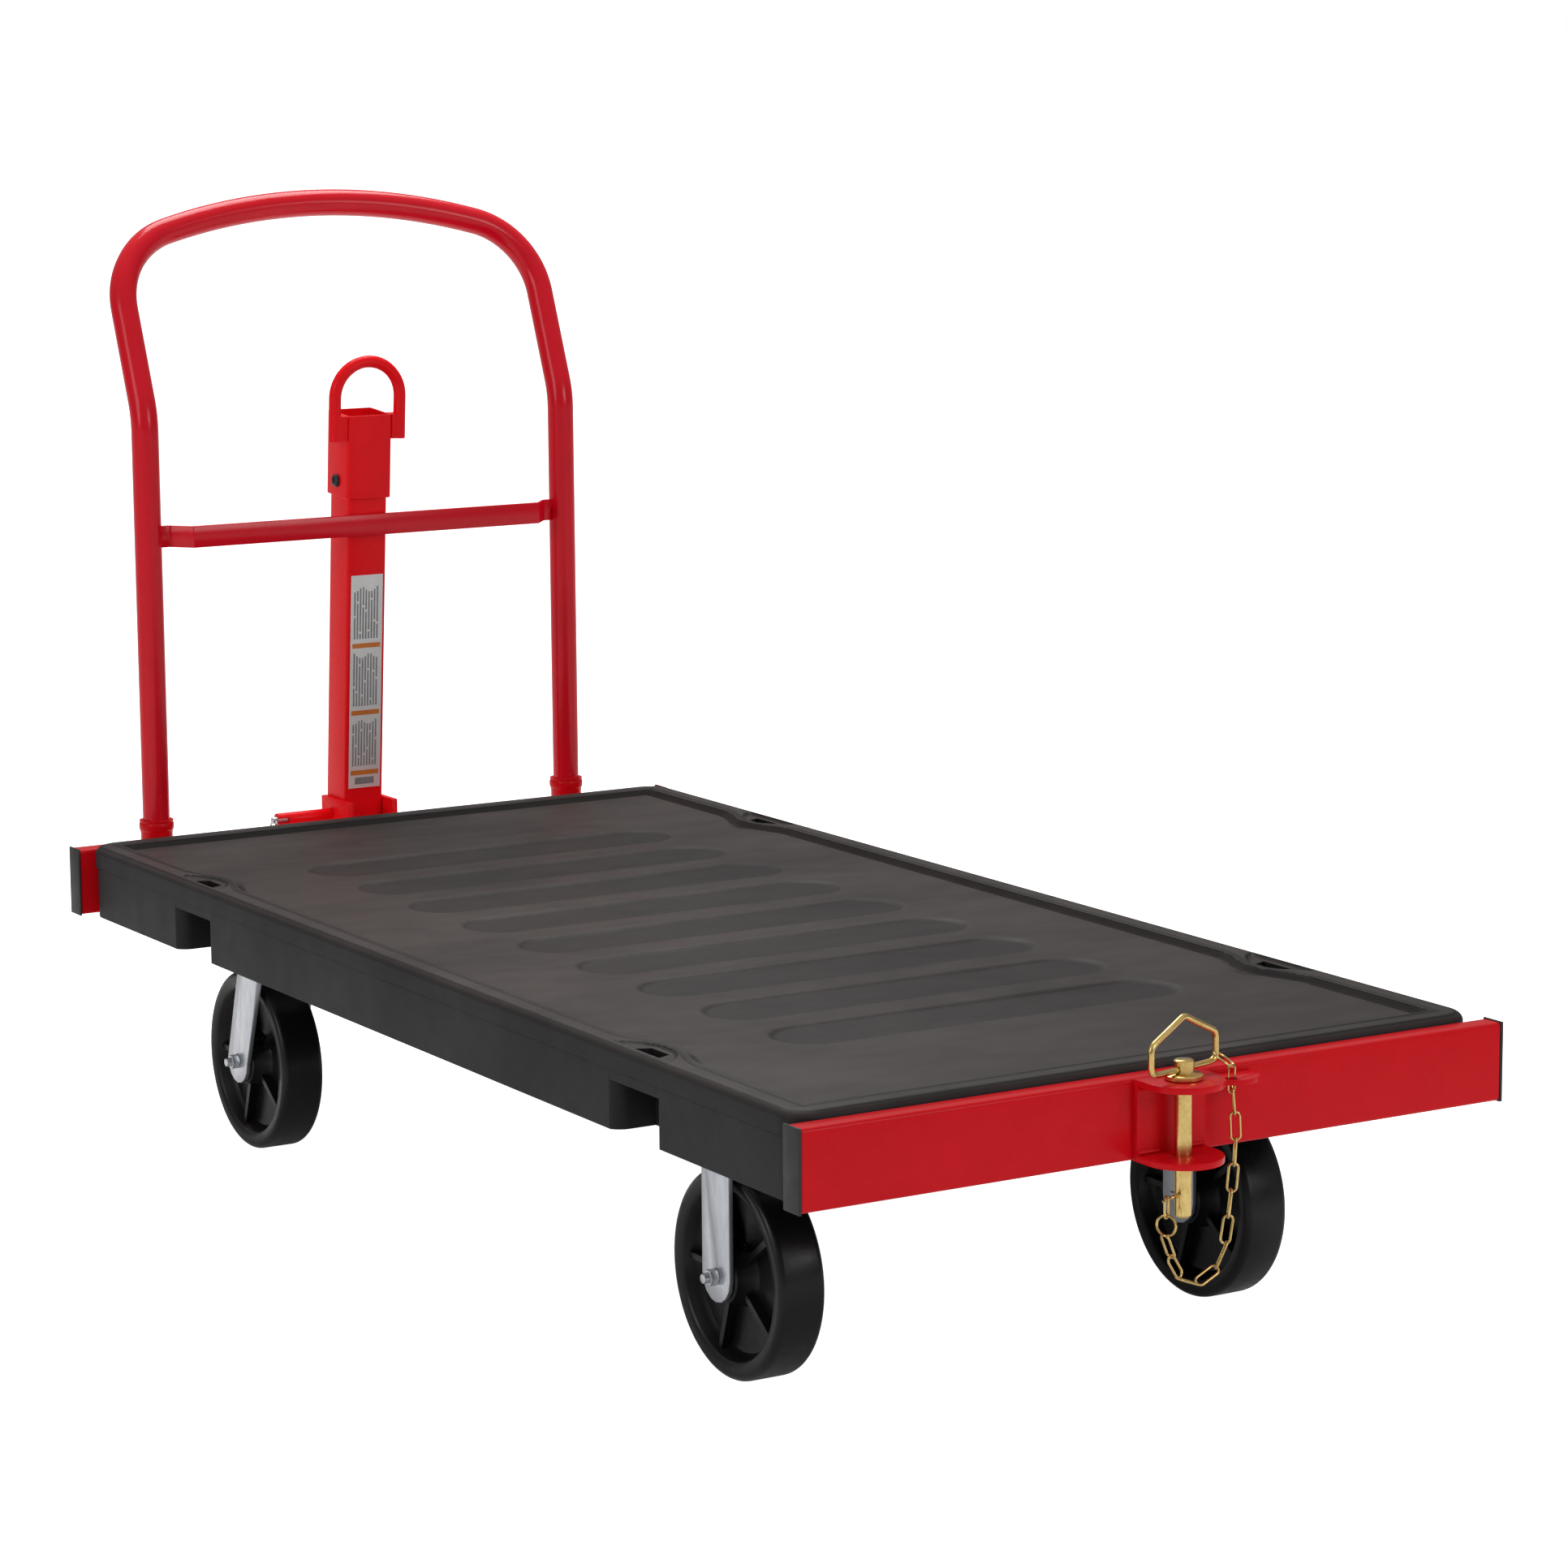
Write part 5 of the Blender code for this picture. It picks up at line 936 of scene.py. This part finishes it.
BANDS = (0.062, 0.345, 0.660)
printed("note_bands", [(band, band + 0.022, 0.06, 0.94) for band in BANDS], label_orange)
rules = []
for start, stop in ((0.095, 0.335), (0.378, 0.650), (0.693, 0.960)):
    columns = 9
    for column in range(columns):
        across = 0.10 + 0.80 * column / columns
        gap_at = 0.45 + 0.3 * math.sin(column * 2.3 + start * 9)
        ragged = 0.04 + 0.10 * abs(math.sin(column * 3.7 + stop * 5))
        span = stop - start
        rules.append((start + 0.01, start + span * gap_at - 0.006, across, across + 0.046))
        rules.append((start + span * gap_at + 0.004, stop - span * ragged, across, across + 0.046))
rules.append((0.018, 0.050, 0.20, 0.80))
printed("note_rules", rules, label_grey)


# ---------------------------------------------------------------- latch
# A spring plunger in a short slotted tube on the left cheek; its ring draws the pin out of the tow bar.
restyled("latch_tube", "latch_housing", "cart_frame", tow_red, 0.0006)
restyled("latch_plunger", "latch_pin", "latch_pin", zinc, 0.0005)
low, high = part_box("latch_ring")
ring_centre = (low + high) / 2
ring_wire = (high.x - low.x) / 2
ring_reach = (high.y - low.y) / 2 - ring_wire
ring_line = [ring_centre + Vector((0, ring_reach * math.cos(math.tau * i / 48),
                                   ring_reach * math.sin(math.tau * i / 48)))
             for i in range(48)]
finished("latch_pull_ring", wire("latch_pull_ring", ring_line, ring_wire, 12, closed=True), "latch_ring",
         zinc, "latch_ring")
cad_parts["latch_spring"].data.materials.clear()
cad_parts["latch_spring"].data.materials.append(zinc)


# ---------------------------------------------------------------- hitch
# Two round-nosed lugs on a plate, welded to the front member, and a tab for the chain; frame red.
restyled("hitch_lugs", "hitch_clevis", "cart_frame", frame_red, 0.0009)
restyled("chain_lug", "chain_tab", "cart_frame", frame_red, 0.0008)
lug_low, lug_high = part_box("hitch_clevis")
weld_parts = []
for z in (lug_low.z + 0.0085, lug_high.z - 0.0085):
    for side in (-1, 1):
        run = [(side * (lug_high.x - 0.001) * (1 - i / 40), lug_high.y - 0.0072, z) for i in range(25)]
        swell = [0.75 + 0.4 * abs(math.sin(i * 1.6 + z * 90)) for i in range(25)]
        weld_parts.append(wire("bead", run, 0.0018, 8, swell=swell))
finished("hitch_welds", joined(weld_parts), "cart_frame", frame_red)


# ---------------------------------------------------------------- hitch pin and its chain
# A 5/8 inch pin with a flange and a drilled head for a five-sided wire bail, a hairpin clip through its foot,
# and a light chain between the bail's ring and the clip's ring; all yellow-passivated zinc.
gold = finish_of("yellow_zinc", (0.80, 0.60, 0.24), (0.62, 0.40, 0.12), 0.26, metallic=1.0, scale=55.0,
                 contrast=0.9,
                 peel=800.0, bump=0.06, depth=0.0001, swing=0.14)
pin_low, pin_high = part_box("hitch_pin")
pin_x, pin_y = (pin_low.x + pin_high.x) / 2, (pin_low.y + pin_high.y) / 2
PIN_RADIUS, FLANGE_RADIUS, FLANGE_HEIGHT, HEAD_RADIUS, HEAD_HEIGHT = 0.0080, 0.0180, 0.0055, 0.0094, 0.0130
flange_base = pin_high.z - HEAD_HEIGHT - FLANGE_HEIGHT
pin_profile = [
    (pin_low.z, 0.0), (pin_low.z, PIN_RADIUS - 0.0024), (pin_low.z + 0.0006, PIN_RADIUS - 0.0016),
    (pin_low.z + 0.0022, PIN_RADIUS - 0.0001), (pin_low.z + 0.0040, PIN_RADIUS), (flange_base, PIN_RADIUS),
    (flange_base, FLANGE_RADIUS - 0.0010), (flange_base + 0.0008, FLANGE_RADIUS),
    (flange_base + FLANGE_HEIGHT - 0.0014, FLANGE_RADIUS), (flange_base + FLANGE_HEIGHT - 0.0003,
                                                            FLANGE_RADIUS - 0.0014),
    (flange_base + FLANGE_HEIGHT, HEAD_RADIUS + 0.0012), (flange_base + FLANGE_HEIGHT + 0.0010, HEAD_RADIUS),
    (pin_high.z - 0.0016, HEAD_RADIUS), (pin_high.z - 0.0004, HEAD_RADIUS - 0.0011),
               (pin_high.z, HEAD_RADIUS - 0.0028),
    (pin_high.z, 0.0),
]
BAIL_WIRE, CLIP_WIRE = 0.0031, 0.0013
bail_axis, clip_axis = Vector((0.96682, 0.25545, 0.0)), Vector((math.cos(math.pi / 6), math.sin(math.pi / 6), 0.0))
bail_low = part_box("hitch_bail")[0]
bail_place = basis((pin_x, pin_y, bail_low.z + BAIL_WIRE), bail_axis, (0, 0, 1))
CLIP_HEIGHT = 0.2124
pin_mesh = lathed(pin_profile, 64, (pin_x, pin_y, 0.0), (0, 0, 1), closed_profile=False)
for axis, height, radius, reach in ((bail_axis, bail_low.z + BAIL_WIRE, BAIL_WIRE + 0.0004, 0.02),
                                    (clip_axis, CLIP_HEIGHT, CLIP_WIRE + 0.0004, 0.02)):
    drill = lathed([(-reach, 0.0), (-reach, radius), (reach, radius), (reach, 0.0)], 24, (pin_x, pin_y, height),
                   axis,
                   closed_profile=False)
    pin_mesh = carved(pin_mesh, drill, "DIFFERENCE")
finished("coupling_pin", smoothed(pin_mesh, 38.0), "hitch_pin", gold, "hitch_pin")


def rounded_loop(corners, radius, steps=5):
    """A closed line with each of its corners turned on a radius."""
    line = []
    count = len(corners)
    for i, here in enumerate(corners):
        here = Vector(here)
        back, ahead = Vector(corners[i - 1]) - here, Vector(corners[(i + 1) % count]) - here
        opening = back.angle(ahead)
        trim = radius / math.tan(opening / 2)
        first, second = here + back.normalized() * trim, here + ahead.normalized() * trim
        for step in range(steps + 1):
            t = step / steps
            line.append(first * (1 - t) ** 2 + here * 2 * t * (1 - t) + second * t ** 2)
    return line


BAIL_SPAN, BAIL_SHOULDER, BAIL_PEAK = 0.0462, 0.0270, 0.0490
bail_corners = [(BAIL_SPAN, 0, 0), (BAIL_SPAN, BAIL_SHOULDER, 0), (0, BAIL_PEAK, 0), (-BAIL_SPAN, BAIL_SHOULDER, 0),
                (-BAIL_SPAN, 0, 0)]
bail_line = [bail_place @ point for point in rounded_loop(bail_corners, 0.0095)]
finished("coupling_bail", wire("coupling_bail", bail_line, BAIL_WIRE, 16, closed=True), "hitch_bail", gold,
         "hitch_bail")
for node, label in (("hitch_clip", "hairpin"), ("clip_link", "hairpin_link"), ("clip_ring", "chain_end_ring")):
    restyled(label, node, "hitch_clip", gold, 0.0003, 1, 60.0)

# Links: a bent wire link on each place of the hanging line, every other one turned square to the last.
links_tree, links_in, links_end = growth_tree("chain_links", [
    ("Long", "NodeSocketFloat", 0.0256), ("Wide", "NodeSocketFloat", 0.0086), ("Wire", "NodeSocketFloat", 0.0012),
    ("Twist", "NodeSocketFloat", 0.5)])
line_of = added(links_tree, "GeometryNodeMeshToCurve")
spots = added(links_tree, "GeometryNodeCurveToPoints", mode="EVALUATED")
oblong = added(links_tree, "GeometryNodeCurvePrimitiveQuadrilateral")
fillet = added(links_tree, "GeometryNodeFilletCurve", {"Count": 5}, mode="POLY")
half_wide = added(links_tree, "ShaderNodeMath", {1: 0.499}, operation="MULTIPLY")
section = added(links_tree, "GeometryNodeCurvePrimitiveCircle", {"Resolution": 8})
sweep = added(links_tree, "GeometryNodeCurveToMesh")
turn_to = added(links_tree, "FunctionNodeAlignRotationToVector", axis="X")
order = added(links_tree, "GeometryNodeInputIndex")
odd = added(links_tree, "ShaderNodeMath", {1: 2.0}, operation="MODULO")
quarter_turn = added(links_tree, "ShaderNodeMath", {1: math.pi / 2}, operation="MULTIPLY_ADD")
about = added(links_tree, "FunctionNodeAxisAngleToRotation", {"Axis": (1.0, 0.0, 0.0)})
twist = added(links_tree, "FunctionNodeRotateRotation", rotation_space="LOCAL")
hang = added(links_tree, "GeometryNodeInstanceOnPoints")
wired(links_tree, [
    (links_in, "Places", line_of, 0), (line_of, 0, spots, 0),
    (links_in, "Long", oblong, "Width"), (links_in, "Wide", oblong, "Height"),
    (oblong, 0, fillet, "Curve"), (links_in, "Wide", half_wide, 0),
    (half_wide, 0, fillet, "Radius"), (fillet, 0, sweep, "Curve"),
    (links_in, "Wire", section, "Radius"), (section, 0, sweep, "Profile Curve"),
    (spots, "Tangent", turn_to, "Vector"), (turn_to, 0, twist, "Rotation"),
    (order, 0, odd, 0), (odd, 0, quarter_turn, 0),
    (links_in, "Twist", quarter_turn, 2), (quarter_turn, 0, about, "Angle"),
    (about, 0, twist, "Rotate By"), (twist, 0, hang, "Rotation"),
    (spots, "Points", hang, "Points"), (sweep, 0, hang, "Instance"),
    (hang, 0, links_end, 0),
])

CHAIN_HANG = (   # x, y and height of the hanging line from the tab's hole round to the clip's ring
    (0.0565, 0.0030, 0.3010), (0.0590, 0.0029, 0.2850), (0.0610, 0.0028, 0.2620), (0.0605, 0.0027, 0.2400),
    (0.0580, 0.0026, 0.2150), (0.0545, 0.0024, 0.1900), (0.0510, 0.0022, 0.1650), (0.0450, 0.0019, 0.1440),
    (0.0330, 0.0014, 0.1310), (0.0160, 0.0008, 0.1260), (0.0001, -0.0011, 0.1303), (-0.0098, -0.0029, 0.1436),
    (-0.0168, -0.0055, 0.1581), (-0.0226, -0.0073, 0.1690), (-0.0238, -0.0077, 0.1772),
)
LINK_PITCH, LINK_WIRE = 0.0240, 0.0012
hanging = np.array([(x, pin_y + y, z) for x, y, z in CHAIN_HANG])
fine_line = []
padded_line = np.vstack([2 * hanging[0] - hanging[1], hanging, 2 * hanging[-1] - hanging[-2]])
for i in range(1, len(padded_line) - 2):
    before, start, stop, after = padded_line[i - 1:i + 3]
    for t in np.linspace(0.0, 1.0, 12, endpoint=False):
        fine_line.append(0.5 * (2 * start + (stop - before) * t + (2 * before - 5 * start + 4 * stop - after) * t ** 2
                                + (3 * start - 3 * stop + after - before) * t ** 3))
fine_line.append(hanging[-1])
fine_line = np.array(fine_line)
travelled = np.concatenate([[0.0], np.cumsum(np.linalg.norm(np.diff(fine_line, axis=0), axis=1))])
link_count = round(travelled[-1] / LINK_PITCH)
stations = (np.arange(link_count) + 0.5) * travelled[-1] / link_count
link_places = np.column_stack([np.interp(stations, travelled, fine_line[:, axis]) for axis in range(3)])
line_mesh = bpy.data.meshes.new("chain_line")
line_mesh.from_pydata(link_places.tolist(), [(i, i + 1) for i in range(link_count - 1)], [])
chain_mesh = grown("chain", line_mesh, links_tree, {
    "Long": travelled[-1] / link_count + 2 * LINK_WIRE, "Wide": 0.0088, "Wire": LINK_WIRE, "Surface": gold})

# The chain's first ring goes round the bail's right-hand side, with a link from it down through the tab's hole.
RING_RADIUS, RING_WIRE, DROP_HALF = 0.0112, 0.0012, 0.0093
tab_low, tab_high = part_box("chain_tab")
hole = Vector((0.0550, tab_high.y - 0.0214, (tab_low.z + tab_high.z) / 2))
drop_middle = hole + Vector((0.0013, 0.0, 0.0020))
drop_end = 0.0037
drop_line = []
for i in range(40):
    angle = math.tau * i / 40
    sweep = math.sin(angle)
    drop_line.append(drop_middle + Vector((drop_end * math.cos(angle), 0.0,
                                           math.copysign(DROP_HALF, sweep) + drop_end * sweep)))
bail_side = bail_place @ Vector((BAIL_SPAN, 0.0060, 0.0))
drop_top = drop_middle + Vector((0.0, 0.0, DROP_HALF + drop_end))
reach = (drop_top - bail_side).normalized()
across = reach.cross(Vector((0.0, 0.0, 1.0))).normalized()
ring_middle = drop_top - reach * (RING_RADIUS - 2 * RING_WIRE)
first_ring = [ring_middle + reach * RING_RADIUS * math.cos(math.tau * i / 40)
              + across * RING_RADIUS * math.sin(math.tau * i / 40) for i in range(40)]
chain_mesh = joined([chain_mesh, wire("first_ring", first_ring, RING_WIRE, 10, closed=True),
                     wire("drop_link", drop_line, LINK_WIRE, 10, closed=True)])
chain = bpy.data.objects.new("tether_chain", smoothed(chain_mesh, 60.0))
scene.collection.objects.link(chain)
chain_mesh.materials.clear()
chain_mesh.materials.append(gold)
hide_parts("safety_chain")
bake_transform(chain)
